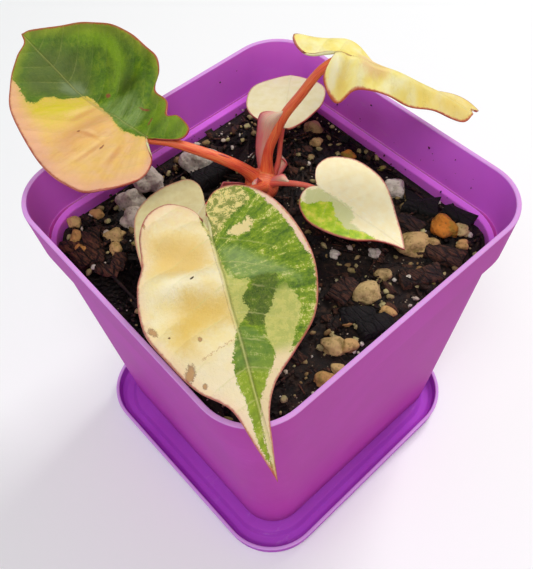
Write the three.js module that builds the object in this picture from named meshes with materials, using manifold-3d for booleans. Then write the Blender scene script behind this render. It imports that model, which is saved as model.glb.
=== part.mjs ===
// A potted variegated philodendron billietiae: a square plastic pot on its saucer, filled with a
// chunky potting mix, and a young plant of one short stem and six leaves.
// Millimetres, +Z up. The origin is the middle of the pot's axis on the saucer's flat underside.

import * as THREE from 'three';
import Module from 'manifold-3d';
import { mergeVertices } from 'three/addons/utils/BufferGeometryUtils.js';

// Driving dimensions
const GAP = 0.3; // clearance between touching pieces
const POT_TOP = 105; // height of the pot's rim
const POT_HALF = 50; // half the pot's width over the rim
const RIM_CORNER = 15; // corner radius of the rim
const WALL = 1.3; // thickness of the pot's wall
const RIM_ROUND = 0.4; // rounding of the rim's edges
const BAND = 15; // height of the wider band below the rim
const SHOULDER_HALF = 47.3; // half the pot's width just under the band
const SHOULDER_CORNER = 14;
const FOOT_HALF = 41; // half the pot's width at its foot
const FOOT_CORNER = 11.3;
const FLOOR = 2.5; // thickness of the pot's floor
const DRAIN_RADIUS = 2.4; // of the holes in the floor
const DRAIN_SPREAD = 0.55; // place of the outer four holes, as a share of the foot's half width
const SAUCER_HALF = 47.1; // half the saucer's width over its rim
const SAUCER_CORNER = 18;
const SAUCER_RIM = 6; // height of the saucer's rim
const SAUCER_WALL = 1.1;
const MOAT = 1.2; // height of the saucer's floor round its seat
const SEAT = 2.8; // height of the saucer's raised seat, on which the pot stands
const SEAT_HALF = 41;
const SEAT_CORNER = 14;
const SAUCER_SHIFT = [2.2, -3.4]; // the saucer lies a little off the pot's axis
const SAUCER_TURN = 0.015; // and slightly turned
const SOIL_LEVEL = 86; // mean height of the potting mix
const STEM = [-14.5, 10.5]; // where the stem stands in the mix
const STEM_RADIUS = 3.8;
const STEM_FOOT = 62;
const STEM_TOP = 95.5;
const BLADE = 0.8; // thickness of a leaf blade or sheath
const MIDRIB_EASE = 2.2; // crowds the blade's cross lines towards the petiole
const CURL_WIDTH = 20; // distance from the midrib at which a half blade has its full curl
const MIDRIB_TIP = 0.35; // radius at which the midrib runs out under the blade
const MIDRIB_STOPS = [0.03, 0.2, 0.4, 0.6]; // shares of the blade's length on the midrib's way
const LARGE_LEAF = 35; // a blade longer than this gets the finer sheet
const SHEATH_FOOT = 0.12; // share of its reach at which a sheath starts
const SHEATH_CURL = 0.45; // bulge of a sheath against its spread
const SHEATH_LEAST = 0.6; // least spread of a sheath
const CORNER_STEPS = 5; // segments of a rounded corner

const FOOT = SEAT + GAP;
const POT_FLOOR = FOOT + FLOOR;
const BAND_FOOT = POT_TOP - BAND;

// Each leaf has its own axes: x runs along the midrib from the petiole to the tip, y to the left.
// heading turns x in plan, pitch lifts the tip, droop bends it, and bow curves the midrib sideways.
// A half blade rises by slope (by slopeTip at the tip, by fold more in the middle), and by curl
// further out; its outline runs from the petiole round the basal lobe to the tip.
const LEAVES = {
  leaf_front: {
    colour: 0xc6cf7c,
    attach: [8.2, -23.5, 115], heading: -26.5, pitch: -3,
    length: 54.6, droop: -13, droopPower: 3, bow: 0.4,
    left: {
      slope: 0.1, slopeTip: 0.1, fold: 0, curl: 0, pleats: 4, depth: 0.3,
      outline: [[-4, 0.4], [-9, 0.6], [-13, 3.5], [-13.6, 8], [-11, 12.5], [-5, 16.8], [3, 19.6],
        [11, 20.6], [19, 19.5], [26, 16.6], [32, 10.5], [37, 4.8], [42, 2], [48, 0.9]],
    },
    right: {
      slope: 0.1, slopeTip: 0.1, fold: 0, curl: 0, pleats: 5, depth: 0.8,
      outline: [[-4, 0.8], [-8, 1.8], [-11, 4.5], [-12.3, 8.5], [-9.5, 13], [-4, 15.8], [4, 17],
        [10, 18.6], [16, 19.7], [22, 19], [29, 15.7], [35, 11.4], [40, 5.8], [47, 2.9]],
    },
    petiole: [[-13, 9.2, 90.5], [-9.2, 5, 96.5], [-4.5, -3.5, 104.5], [1, -13, 111], [5.5, -19.5, 114]],
    thick: [1.6, 1.1], sheath: { side: [-0.3, 0.4, 0.9], width: 3, reach: 0.3 },
  },
  leaf_left: {
    colour: 0xa9b255,
    attach: [-33.5, -12.6, 111], heading: -172.5, pitch: 0,
    length: 47.6, droop: 11, droopPower: 2, bow: -1.6,
    left: {
      slope: 0.05, slopeTip: 0.05, fold: 0, curl: 0, pleats: 5, depth: 0.5,
      outline: [[-4, 3], [-8, 5.5], [-10, 10], [-9.8, 14.5], [-6.2, 20.7], [-1, 24.5], [7.3, 25.8],
        [14, 24.7], [20.7, 22.9], [28.4, 20.2], [33.3, 17.5], [38.5, 12], [43.1, 5.9], [45.3, 1.4]],
    },
    right: {
      slope: 0.25, slopeTip: 0.25, fold: 0, curl: 5, pleats: 5, depth: 0.3,
      outline: [[-4, 1.5], [-9, 4.7], [-8.8, 7.9], [-4, 9], [-1, 7.6], [2.2, 10.9], [7.4, 11.6],
        [9.3, 15.8], [13.6, 18.4], [22.6, 19], [30.2, 17.6], [36.4, 14.4], [42.7, 8], [46.8, 2.8]],
    },
    petiole: [[-15, 9.6, 91.5], [-16, 6, 98], [-18.6, 1.3, 103.3], [-22.8, -3.4, 107], [-28.8, -8.4, 109.5]],
    thick: [1.8, 1.1], sheath: { side: [0.1, -0.2, 1], width: 1.6, reach: 0.62 },
  },
  leaf_yellow: {
    colour: 0xeadb7a,
    attach: [-1.6, 26.1, 134], heading: 44, pitch: -17,
    length: 39, droop: -7.5, droopPower: 2, bow: 0,
    left: {
      slope: -0.55, slopeTip: -0.1, fold: -1.2, curl: 0, pleats: 3, depth: 0.3,
      outline: [[-2, 1.5], [-6, 1], [-10, 2], [-10.5, 5.5], [-6, 8.5], [1, 9.5], [8, 9.2], [15, 8],
        [22, 6.6], [29, 5.4], [36, 5], [41.5, 3.6], [38.5, 1.6]],
    },
    right: {
      slope: -1.3, slopeTip: -1, fold: 0, curl: 0, pleats: 3, depth: 0.5,
      outline: [[-1.5, 2], [-2, 4.5], [0.4, 6.8], [3.5, 7], [6, 5.4], [10, 4.4], [15, 4.6], [21, 4.4],
        [27, 3.7], [33, 3.2], [37, 2.4]],
    },
    petiole: [[-14.3, 12, 91], [-14.6, 13.2, 100], [-13.4, 15.2, 107], [-11.3, 17.2, 114],
      [-8, 19.8, 121], [-4.2, 23, 129]],
    thick: [1.6, 1.1], sheath: { side: [-0.92, -0.4, 0.1], width: 5.6, reach: 0.64 },
  },
  leaf_back: {
    colour: 0xeeeacb,
    attach: [-14.8, 19.4, 106], heading: 133, pitch: 0,
    length: 30, droop: -7, droopPower: 2, bow: 0,
    left: {
      slope: 0.05, slopeTip: 0.05, fold: 0, curl: 0, pleats: 2, depth: 0.3,
      outline: [[-0.8, 2], [1, 4.6], [2.6, 7.6], [5.5, 9.9], [10, 11.2], [17, 10.6], [23, 7.5], [28, 3]],
    },
    right: {
      slope: 0.05, slopeTip: 0.05, fold: 0, curl: 0, pleats: 2, depth: 0.3,
      outline: [[-0.8, 1.8], [0.8, 4.4], [3.5, 6.8], [10, 10.2], [17, 11], [23, 8.5], [28, 3.5]],
    },
    petiole: [[-13.6, 12.5, 89], [-13.6, 16, 95], [-14.4, 18, 101]],
    thick: [0.9, 0.6], sheath: { side: [0.7, 0.5, 0.2], width: 2.6, reach: 0.6 },
  },
  leaf_heart: {
    colour: 0xe6e8b4,
    attach: [3.5, 15.6, 99], heading: 6.5, pitch: -8,
    length: 29, droop: 0, droopPower: 2, bow: 0,
    left: {
      slope: 0.05, slopeTip: 0.05, fold: 0, curl: 0, pleats: 2, depth: 0.3,
      outline: [[-2.5, 1.5], [-4.7, 4.8], [-4.5, 8.7], [-2.2, 11.7], [2, 14.1], [7.4, 14.3], [12.5, 13],
        [17.3, 9.9], [21.5, 6.6], [25.5, 3.4]],
    },
    right: {
      slope: 0.05, slopeTip: 0.05, fold: 0, curl: 0, pleats: 2, depth: 0.3,
      outline: [[-1.5, 1.5], [-2, 3.7], [-1.2, 6.6], [0.8, 9], [4.8, 10.8], [9.8, 10.4], [14, 9.2],
        [18.1, 6.9], [21.5, 3.4], [25, 1.3]],
    },
    petiole: [[-12.5, 10.5, 90], [-9, 10.6, 94.5], [-4, 12.4, 97], [0.5, 14.4, 98]],
    thick: [1.1, 0.65], sheath: { side: [-0.3, 0.5, 0.8], width: 2.4, reach: 0.62 },
  },
  leaf_low: {
    colour: 0xe7e6bd,
    attach: [-13, -11.1, 99], heading: -71, pitch: -10,
    length: 29, droop: 0, droopPower: 2, bow: 0,
    left: {
      slope: 0.05, slopeTip: 0.05, fold: 0, curl: 0, pleats: 2, depth: 0.3,
      outline: [[-2, 2], [-4.5, 5], [-4, 9], [0, 12], [6, 13], [12, 12], [18, 9], [24, 4.5]],
    },
    right: {
      slope: 0.05, slopeTip: 0.05, fold: 0, curl: 0, pleats: 2, depth: 0.3,
      outline: [[-2.5, 1.5], [-5, 4.5], [-5.3, 8], [-3, 10.8], [0.5, 13.6], [5, 15.3], [10, 15.3],
        [14, 13.4], [19, 9.6], [24, 4.5]],
    },
    petiole: [[-14.8, 9, 88.2], [-16, 3.5, 91.8], [-15.6, -3.5, 95.5], [-13.8, -8.5, 97.8]],
    thick: [1, 0.65], sheath: { side: [-0.7, 0, 0.7], width: 3, reach: 0.7 },
  },
};

// Lumps of the mix that show: place, lengths along their own axes, turn in degrees about +Z, and
// rise of the middle over the mix. A straight one is a splinter, the others are rounded stones.
const LUMPS = {
  pumice: { at: [-35.5, 4.5], size: [13, 9, 8], turn: 35, rise: 1.5 },
  perliteOne: { at: [-40, -12], size: [9, 8, 8], turn: 10, rise: 1.5 },
  perliteTwo: { at: [-39, -20], size: [9, 8, 7], turn: 50, rise: 1 },
  perliteThree: { at: [-32.5, -23.5], size: [8, 8, 7], turn: 0, rise: 1 },
  yellowStone: { at: [29.5, 27], size: [11, 8, 6], turn: 40, rise: 1 },
  orangeStone: { at: [31.5, 36.5], size: [8, 7, 6], turn: 15, rise: 1 },
  beigeStone: { at: [31.8, 6], size: [8, 7, 5], turn: 60, rise: 1 },
  paleStone: { at: [11.7, 38], size: [7, 6, 6], turn: 20, rise: 1.5 },
  charcoal: { at: [-28.5, 3.7], size: [13, 5, 5], turn: 84, rise: 1.5, straight: true },
  barkRight: { at: [38, 20], size: [14, 7, 5], turn: 60, rise: 0.5, straight: true },
  barkCorner: { at: [38, 31], size: [11, 6, 5], turn: 20, rise: 0.5, straight: true },
  barkLeft: { at: [-31, -38], size: [12, 5, 4], turn: -30, rise: 0.5, straight: true },
  barkFront: { at: [27, 2], size: [9, 6, 5], turn: 100, rise: 0.5, straight: true },
};
const SMALL_LUMPS = 48;
const SMALL_LUMP_REACH = 41; // furthest a small lump's middle lies from the pot's axis, along x or y
const SMALL_LUMP_CORNER = [32, 9]; // where the mix's rounded corners start, and how far lumps go into them
const STEM_CLEAR = 9; // no small lump lies nearer to the stem

const wasm = await Module();
wasm.setup();

// A closed geometry as a solid, for joining and cutting.
function solid(geometry) {
  const bare = geometry.clone();
  bare.deleteAttribute('normal');
  bare.deleteAttribute('uv');
  const merged = mergeVertices(bare, 1e-4);
  const corners = [];
  const index = merged.index.array;
  for (let i = 0; i < index.length; i += 3) {
    const [a, b, c] = index.slice(i, i + 3);
    if (a !== b && b !== c && c !== a) corners.push(a, b, c);
  }
  return new wasm.Manifold(new wasm.Mesh({
    numProp: 3,
    vertProperties: new Float32Array(merged.attributes.position.array),
    triVerts: new Uint32Array(corners),
  }));
}

// Solids joined in one body: hollows that the joining seals are filled, and loose scraps dropped.
function join(solids) {
  const parts = wasm.Manifold.union(solids).decompose();
  return parts.reduce((largest, part) => (part.volume() > largest.volume() ? part : largest));
}

// A named mesh of one solid, in its own finish.
function piece(name, body, colour, roughness) {
  const mesh = body.getMesh();
  const geometry = new THREE.BufferGeometry();
  geometry.setAttribute('position', new THREE.BufferAttribute(new Float32Array(mesh.vertProperties), 3));
  geometry.setIndex(Array.from(mesh.triVerts));
  geometry.computeVertexNormals();
  const finish = new THREE.MeshStandardMaterial({ color: colour, roughness, metalness: 0 });
  const node = new THREE.Mesh(geometry, finish);
  node.name = name;
  return node;
}

// A repeatable draw from 0 to 1, so that every run places the lumps alike.
function drawer(seed) {
  let state = seed;
  return () => {
    state = (state * 1664525 + 1013904223) % 4294967296;
    return state / 4294967296;
  };
}

// A profile of [half width, corner radius, height] swept round a square with rounded corners.
// The lathe gives the turns of the corners, and each corner is then moved out along its diagonal.
function roundedSquare(profile) {
  const segments = 4 * (CORNER_STEPS + 1);
  const start = Math.PI / segments;
  const rings = profile.map(([, corner, height]) => new THREE.Vector2(corner, height));
  const lathe = new THREE.LatheGeometry(rings, segments, start);
  const place = lathe.attributes.position;
  for (let i = 0; i < place.count; i++) {
    const [half, corner, height] = profile[i % profile.length];
    const angle = start + (Math.floor(i / profile.length) % segments) * 2 * start;
    const quarter = Math.floor(angle / (Math.PI / 2));
    const within = (angle - quarter * Math.PI / 2 - start) / (Math.PI / 2 - 2 * start);
    const turn = (quarter + within) * Math.PI / 2;
    const diagonal = (quarter + 0.5) * Math.PI / 2;
    const reach = (half - corner) * Math.SQRT2;
    place.setXYZ(
      i,
      corner * Math.cos(turn) + reach * Math.cos(diagonal),
      corner * Math.sin(turn) + reach * Math.sin(diagonal),
      height,
    );
  }
  return lathe;
}

// The saucer: a low flared rim, a moat and a raised seat.
function saucer() {
  const inside = SAUCER_HALF - SAUCER_WALL;
  const body = solid(roundedSquare([
    [0, 0, 0],
    [SAUCER_HALF - 2, SAUCER_CORNER - 2, 0],
    [SAUCER_HALF - 0.6, SAUCER_CORNER - 0.6, 1],
    [SAUCER_HALF, SAUCER_CORNER, SAUCER_RIM],
    [inside, SAUCER_CORNER - SAUCER_WALL, SAUCER_RIM],
    [inside - 0.7, SAUCER_CORNER - 1.9, 2.4],
    [inside - 2, SAUCER_CORNER - 3, MOAT],
    [SEAT_HALF + 1.2, SEAT_CORNER + 0.6, MOAT],
    [SEAT_HALF, SEAT_CORNER, SEAT],
    [0, 0, SEAT],
  ]));
  return body.rotate(0, 0, THREE.MathUtils.radToDeg(SAUCER_TURN)).translate(...SAUCER_SHIFT, 0);
}

// Half the width and corner radius of the pot's lower wall at a height, outside it.
function wallAt(height) {
  const share = (height - FOOT) / (BAND_FOOT - FOOT);
  return [
    THREE.MathUtils.lerp(FOOT_HALF, SHOULDER_HALF, share),
    THREE.MathUtils.lerp(FOOT_CORNER, SHOULDER_CORNER, share),
  ];
}

// The pot: tapered walls, a ledge, and a wider band up to the rim, with drain holes in the floor.
function pot() {
  const [wallHalf, wallCorner] = wallAt(BAND_FOOT);
  const [floorHalf, floorCorner] = wallAt(POT_FLOOR);
  let body = solid(roundedSquare([
    [0, 0, FOOT],
    [FOOT_HALF - 0.8, FOOT_CORNER - 0.8, FOOT],
    [FOOT_HALF, FOOT_CORNER, FOOT + 1.1],
    [wallHalf, wallCorner, BAND_FOOT - 0.5],
    [POT_HALF - 1, RIM_CORNER - 0.2, BAND_FOOT],
    [POT_HALF, RIM_CORNER, POT_TOP - RIM_ROUND],
    [POT_HALF - RIM_ROUND, RIM_CORNER - RIM_ROUND, POT_TOP],
    [POT_HALF - WALL + 0.3, RIM_CORNER - WALL + 0.3, POT_TOP],
    [POT_HALF - WALL, RIM_CORNER - WALL, POT_TOP - RIM_ROUND],
    [POT_HALF - 1 - WALL, RIM_CORNER - 0.2 - WALL, BAND_FOOT - 0.4],
    [wallHalf - WALL, wallCorner - WALL, BAND_FOOT - 1.6],
    [floorHalf - WALL, floorCorner - WALL, POT_FLOOR],
    [0, 0, POT_FLOOR],
  ]));
  const spread = FOOT_HALF * DRAIN_SPREAD;
  const corners = [[spread, spread], [-spread, spread], [-spread, -spread], [spread, -spread]];
  for (const [x, y] of [[0, 0], ...corners]) {
    const drill = new THREE.CylinderGeometry(DRAIN_RADIUS, DRAIN_RADIUS, 3 * FLOOR, 10);
    drill.rotateX(Math.PI / 2).translate(x, y, FOOT + FLOOR / 2);
    body = body.subtract(solid(drill));
  }
  return body;
}

// Height of the mix's surface at a place, before the lumps.
function soilHeight(x, y) {
  const mounds = 0.7 * Math.sin(x / 5.3 + 1) * Math.cos(y / 6.1);
  const ripples = 0.5 * Math.sin(x / 2.9 - y / 3.7);
  return SOIL_LEVEL + mounds + ripples;
}

// The mix's filling: straight rays from the axis out to the wall, with an uneven top.
function filling() {
  const rays = 40;
  const rings = 7;
  const chordGap = 0.2; // the straight chords between the rays stay clear of the round corners
  const profile = [new THREE.Vector2(0, POT_FLOOR + GAP), new THREE.Vector2(1, POT_FLOOR + GAP)];
  for (let k = 0; k <= rings; k++) profile.push(new THREE.Vector2(1 - k / rings, SOIL_LEVEL));
  const body = new THREE.LatheGeometry(profile, rays);
  const place = body.attributes.position;
  for (let i = 0; i < place.count; i++) {
    const { x: share, y: height } = profile[i % profile.length];
    const turn = Math.floor(i / profile.length) % rays * 2 * Math.PI / rays;
    const [wallHalf, wallCorner] = wallAt(height);
    const half = wallHalf - WALL - GAP - chordGap;
    const core = half - wallCorner + WALL;
    const direction = new THREE.Vector2(Math.cos(turn), Math.sin(turn));
    let reach = half / Math.max(Math.abs(direction.x), Math.abs(direction.y));
    const over = new THREE.Vector2(Math.abs(direction.x), Math.abs(direction.y)).multiplyScalar(reach);
    if (over.x > core && over.y > core) {
      const along = core * (Math.abs(direction.x) + Math.abs(direction.y));
      reach = along + Math.sqrt(along * along - 2 * core * core + (half - core) ** 2);
    }
    const x = direction.x * reach * share;
    const y = direction.y * reach * share;
    const top = height === SOIL_LEVEL ? soilHeight(x, y) : height;
    place.setXYZ(i, x, y, top);
  }
  return solid(body);
}

// One lump: a ball or a splinter of few sides with uneven corners, at its size, turn and place.
function lump({ at, size, turn, rise, straight }, draw) {
  const rough = straight
    ? new THREE.CylinderGeometry(0.45, 0.5, 1, 6).rotateZ(Math.PI / 2)
    : new THREE.IcosahedronGeometry(0.5, 0);
  const shape = mergeVertices(rough.deleteAttribute('normal').deleteAttribute('uv'), 1e-4);
  const place = shape.attributes.position;
  for (let i = 0; i < place.count; i++) {
    const swell = 0.85 + 0.3 * draw();
    place.setXYZ(i, place.getX(i) * swell, place.getY(i) * swell, place.getZ(i) * swell);
  }
  shape.scale(...size).rotateZ(THREE.MathUtils.degToRad(turn));
  shape.translate(at[0], at[1], soilHeight(...at) + rise);
  return solid(shape);
}

// The potting mix: the filling with its lumps sunk in, and a plain hole for the stem.
function pottingMix() {
  const draw = drawer(17);
  const lumps = Object.values(LUMPS).map((each) => lump(each, draw));
  const [cornerStart, cornerReach] = SMALL_LUMP_CORNER;
  while (lumps.length < Object.keys(LUMPS).length + SMALL_LUMPS) {
    const at = [(2 * draw() - 1) * SMALL_LUMP_REACH, (2 * draw() - 1) * SMALL_LUMP_REACH];
    const size = [3 + 3 * draw(), 2.5 + 2.5 * draw(), 2.5 + 1.5 * draw()];
    const turn = 180 * draw();
    const fromStem = Math.hypot(at[0] - STEM[0], at[1] - STEM[1]);
    const [overX, overY] = at.map((each) => Math.max(0, Math.abs(each) - cornerStart));
    if (fromStem > STEM_CLEAR && Math.hypot(overX, overY) <= cornerReach) {
      const straight = draw() < 0.3;
      lumps.push(lump({ at, size, turn, rise: 0.4, straight }, draw));
    }
  }
  const hole = solid(stemShape(GAP));
  return join([filling(), ...lumps]).subtract(hole);
}

// The stem's lathe, grown all round by a clearance: one body for the stem, for its hole in the mix
// and for the hollow that the petioles' feet leave round it.
function stemShape(clearance) {
  const radius = STEM_RADIUS + clearance;
  const lathe = new THREE.LatheGeometry([
    new THREE.Vector2(0, STEM_FOOT - clearance),
    new THREE.Vector2(radius - 1.5, STEM_FOOT - clearance),
    new THREE.Vector2(radius, STEM_FOOT + 3),
    new THREE.Vector2(radius, SOIL_LEVEL + 3),
    new THREE.Vector2(radius - 0.4, STEM_TOP - 4),
    new THREE.Vector2(radius - 1.4, STEM_TOP - 1),
    new THREE.Vector2(0, STEM_TOP + clearance),
  ], 16);
  return lathe.rotateX(Math.PI / 2).translate(STEM[0], STEM[1], 0);
}

// The axes and the origin of a leaf, from its heading and pitch.
function axesOf(leaf) {
  const heading = THREE.MathUtils.degToRad(leaf.heading);
  const pitch = THREE.MathUtils.degToRad(leaf.pitch);
  const along = new THREE.Vector3(
    Math.cos(heading) * Math.cos(pitch),
    Math.sin(heading) * Math.cos(pitch),
    Math.sin(pitch),
  );
  const left = new THREE.Vector3(-Math.sin(heading), Math.cos(heading), 0);
  return { origin: new THREE.Vector3(...leaf.attach), along, left, up: along.clone().cross(left) };
}

// How far the blade rises over its own plane at a point: droop, fold along the midrib, and curl.
function bladeLift(leaf, x, y) {
  const half = y > 0 ? leaf.left : leaf.right;
  const share = Math.max(x, 0) / leaf.length;
  const slope = THREE.MathUtils.lerp(half.slope, half.slopeTip, Math.min(share, 1))
    + half.fold * Math.sin(Math.PI * Math.min(share, 1)) ** 2;
  return leaf.droop * share ** leaf.droopPower
    + slope * (Math.sqrt(y * y + 1) - 1)
    + half.curl * (y / CURL_WIDTH) ** 2;
}

// A point of the blade: s runs along the outline from the petiole to the tip, t from the left edge
// (1) over the midrib (0) to the right edge (-1), and face is 1 on top and -1 underneath.
function bladePoint(leaf, axes, outlines, s, t, face) {
  const half = t > 0 ? leaf.left : leaf.right;
  const edge = (t > 0 ? outlines.left : outlines.right).getPointAt(s);
  const share = s ** MIDRIB_EASE;
  const rib = new THREE.Vector2(leaf.length * share, leaf.bow * Math.sin(Math.PI * share));
  const { x, y } = rib.lerp(edge, Math.abs(t));
  const wave = Math.sin(2 * Math.PI * half.pleats * s);
  const pleat = half.depth * wave * Math.abs(t) * Math.sin(Math.PI * s);
  const step = 0.05;
  const lift = bladeLift(leaf, x, y);
  const riseAlong = (bladeLift(leaf, x + step, y) - bladeLift(leaf, x - step, y)) / (2 * step);
  const riseLeft = (bladeLift(leaf, x, y + step) - bladeLift(leaf, x, y - step)) / (2 * step);
  const normal = axes.up.clone()
    .addScaledVector(axes.along, -riseAlong)
    .addScaledVector(axes.left, -riseLeft)
    .normalize();
  return axes.origin.clone()
    .addScaledVector(axes.along, x)
    .addScaledVector(axes.left, y)
    .addScaledVector(axes.up, lift + pleat)
    .addScaledVector(normal, face * BLADE / 2);
}

// A thin closed sheet from a grid of points, split into triangles alike on both faces.
function sheet(rows, columns, pointAt) {
  const points = [];
  const corners = [];
  const width = columns + 1;
  const number = (i, j, face) => (i * width + j) * 2 + face;
  for (let i = 0; i <= rows; i++) {
    for (let j = 0; j <= columns; j++) {
      for (const face of [1, -1]) points.push(pointAt(i / rows, j / columns, face));
    }
  }
  const wall = (a, b) => corners.push(a, b, a + 1, b, b + 1, a + 1);
  for (let i = 0; i < rows; i++) {
    for (let j = 0; j < columns; j++) {
      const [a, d] = [number(i, j, 0), number(i, j + 1, 0)];
      const [b, c] = [number(i + 1, j, 0), number(i + 1, j + 1, 0)];
      corners.push(a, b, c, a, c, d);
      corners.push(a + 1, c + 1, b + 1, a + 1, d + 1, c + 1);
    }
  }
  for (let i = 0; i < rows; i++) {
    wall(number(i + 1, 0, 0), number(i, 0, 0));
    wall(number(i, columns, 0), number(i + 1, columns, 0));
  }
  for (let j = 0; j < columns; j++) {
    wall(number(0, j, 0), number(0, j + 1, 0));
    wall(number(rows, j + 1, 0), number(rows, j, 0));
  }
  const geometry = new THREE.BufferGeometry().setFromPoints(points);
  geometry.setIndex(corners);
  return geometry;
}

// A closed tapered rod along a curve: a capped cylinder whose rings follow the curve.
function rod(points, radiusAt, sides, steps) {
  const curve = new THREE.CatmullRomCurve3(points, false, 'centripetal');
  const frames = curve.computeFrenetFrames(steps, false);
  const cylinder = new THREE.CylinderGeometry(1, 1, 1, sides, steps);
  const place = cylinder.attributes.position;
  for (let i = 0; i < place.count; i++) {
    const share = place.getY(i) + 0.5;
    const ring = Math.round(share * steps);
    const radius = radiusAt(share);
    const point = curve.getPointAt(share)
      .addScaledVector(frames.normals[ring], place.getX(i) * radius)
      .addScaledVector(frames.binormals[ring], -place.getZ(i) * radius);
    place.setXYZ(i, point.x, point.y, point.z);
  }
  return { geometry: cylinder, curve };
}

// A leaf as it grew: the blade, the petiole that runs on under it as its midrib, and the sheath at
// the petiole's foot, all cut clear of the stem's top.
function leafBody(leaf, foot) {
  const axes = axesOf(leaf);
  const outlineOf = (half, side) => new THREE.SplineCurve([
    new THREE.Vector2(0, 0),
    ...half.outline.map(([x, y]) => new THREE.Vector2(x, side * y)),
    new THREE.Vector2(leaf.length, 0),
  ]);
  const outlines = { left: outlineOf(leaf.left, 1), right: outlineOf(leaf.right, -1) };
  const [rows, columns] = leaf.length > LARGE_LEAF ? [24, 8] : [16, 6];
  const onBlade = (s, across, face) => bladePoint(leaf, axes, outlines, s, 2 * across - 1, face);
  const blade = sheet(rows, columns, onBlade);

  const under = (x, drop) => {
    const share = x / leaf.length;
    return axes.origin.clone()
      .addScaledVector(axes.along, x)
      .addScaledVector(axes.left, leaf.bow * Math.sin(Math.PI * share))
      .addScaledVector(axes.up, bladeLift(leaf, x, 0) - drop);
  };
  const [thick, thin] = leaf.thick;
  const stalk = leaf.petiole.map((place) => new THREE.Vector3(...place));
  const rib = MIDRIB_STOPS.map((share) => under(share * leaf.length, 0.7 - 0.5 * share));
  const turn = stalk.length / (stalk.length + rib.length - 1);
  const radiusAt = (share) => (share < turn
    ? THREE.MathUtils.lerp(thick, thin, share / turn)
    : THREE.MathUtils.lerp(thin, MIDRIB_TIP, (share - turn) / (1 - turn)));
  const { geometry, curve } = rod([...stalk, ...rib], radiusAt, 7, 20);

  const { side, width, reach } = leaf.sheath;
  const wing = sheet(8, 4, (u, v, face) => {
    const share = turn * reach * THREE.MathUtils.lerp(SHEATH_FOOT, 1, u);
    const tangent = curve.getTangentAt(share);
    const out = new THREE.Vector3(...side).projectOnPlane(tangent).normalize();
    const back = tangent.clone().cross(out);
    const spread = Math.max(width * Math.sin(Math.PI * (0.2 + 0.8 * u)), SHEATH_LEAST);
    return curve.getPointAt(share)
      .addScaledVector(out, spread * v)
      .addScaledVector(back, SHEATH_CURL * spread * Math.sin(Math.PI * v) + face * BLADE / 2);
  });
  return join([join([solid(blade), solid(geometry), solid(wing)]).subtract(foot)]);
}

const plant = new THREE.Group();
plant.add(
  piece('saucer', saucer(), 0x8f3fae, 0.45),
  piece('pot', pot(), 0xa24bb0, 0.4),
  piece('potting_mix', pottingMix(), 0x2c211b, 0.95),
  piece('stem', solid(stemShape(0)), 0xc4583a, 0.6),
);
const foot = solid(stemShape(GAP));
for (const [name, leaf] of Object.entries(LEAVES)) {
  plant.add(piece(name, leafBody(leaf, foot), leaf.colour, 0.5));
}

export default plant;
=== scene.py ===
"""A young variegated philodendron in a square purple pot on its saucer, dressed round its solids."""

import math
import random

import bmesh
import bpy
from mathutils import Euler, Matrix, Vector, noise


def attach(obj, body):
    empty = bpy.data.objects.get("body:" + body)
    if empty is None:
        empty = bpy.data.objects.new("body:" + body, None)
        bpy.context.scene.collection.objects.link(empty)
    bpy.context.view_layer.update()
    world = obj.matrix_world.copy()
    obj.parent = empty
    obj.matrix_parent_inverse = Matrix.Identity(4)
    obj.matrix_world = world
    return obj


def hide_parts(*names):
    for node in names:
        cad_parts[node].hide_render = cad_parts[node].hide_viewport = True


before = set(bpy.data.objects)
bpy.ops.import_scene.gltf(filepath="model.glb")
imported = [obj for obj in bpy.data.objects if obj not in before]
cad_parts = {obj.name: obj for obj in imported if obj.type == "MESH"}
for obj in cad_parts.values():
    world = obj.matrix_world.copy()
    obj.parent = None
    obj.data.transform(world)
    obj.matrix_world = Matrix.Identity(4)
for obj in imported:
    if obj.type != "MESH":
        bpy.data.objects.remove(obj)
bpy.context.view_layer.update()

# Sizes of the pot, saucer, mix and stem, in millimetres as in the part's source.
MM = 0.001
POT_TOP = 105
POT_HALF = 50
RIM_CORNER = 15
WALL = 1.3
BAND_FOOT = 90
BAND_HALF = 49
BAND_CORNER = 14.8
SHOULDER_HALF = 47.3
SHOULDER_CORNER = 14
FOOT_HALF = 41
FOOT_CORNER = 11.3
FOOT = 3.1
POT_FLOOR = 5.6
DRAIN_RADIUS = 2.4
DRAIN_SPREAD = 0.55 * FOOT_HALF
DRAINS = [(0, 0)] + [(x, y) for y in (DRAIN_SPREAD, -DRAIN_SPREAD) for x in (DRAIN_SPREAD, -DRAIN_SPREAD)]
SAUCER_HALF = 47.1
SAUCER_CORNER = 18
SAUCER_RIM = 6
SAUCER_WALL = 1.1
MOAT = 1.2
SEAT = 2.8
SEAT_HALF = 41
SEAT_CORNER = 14
SAUCER_SHIFT = Vector((2.2, -3.4, 0))
SAUCER_TURN = 0.015
EDGE_ROUND = 0.35
SOIL_LEVEL = 86
MIX_INSET = WALL + 0.35
MIX_LIFT = 0.3
MIX_RINGS = 58
STEM = Vector((-14.5, 10.5, 0))
STEM_FOOT = 62
STEM_PROFILE = [(0, STEM_FOOT), (2.3, STEM_FOOT), (3.8, STEM_FOOT + 3), (3.8, 87), (3.7, 89), (3.45, 90.5),
                (3.5, 91.5), (3.1, 93), (2.4, 94.6), (1.2, 95.3), (0, 95.5)]
CROWN = Vector((-13.8, 9.8, 91))
CROWN_SIZE = (10.4, 9.2, 9)
BLADE = 0.55  # thickness
SHEATH = 0.35  # thickness
MIDRIB_EASE = 2.2  # crowds the blade's cross lines towards the petiole
MIDRIB_STOPS = (0.03, 0.12, 0.2, 0.3, 0.4, 0.5, 0.6)  # shares of the blade's length on the midrib's way
MIDRIB_TIP = 0.2  # radius at which the midrib runs out
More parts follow.
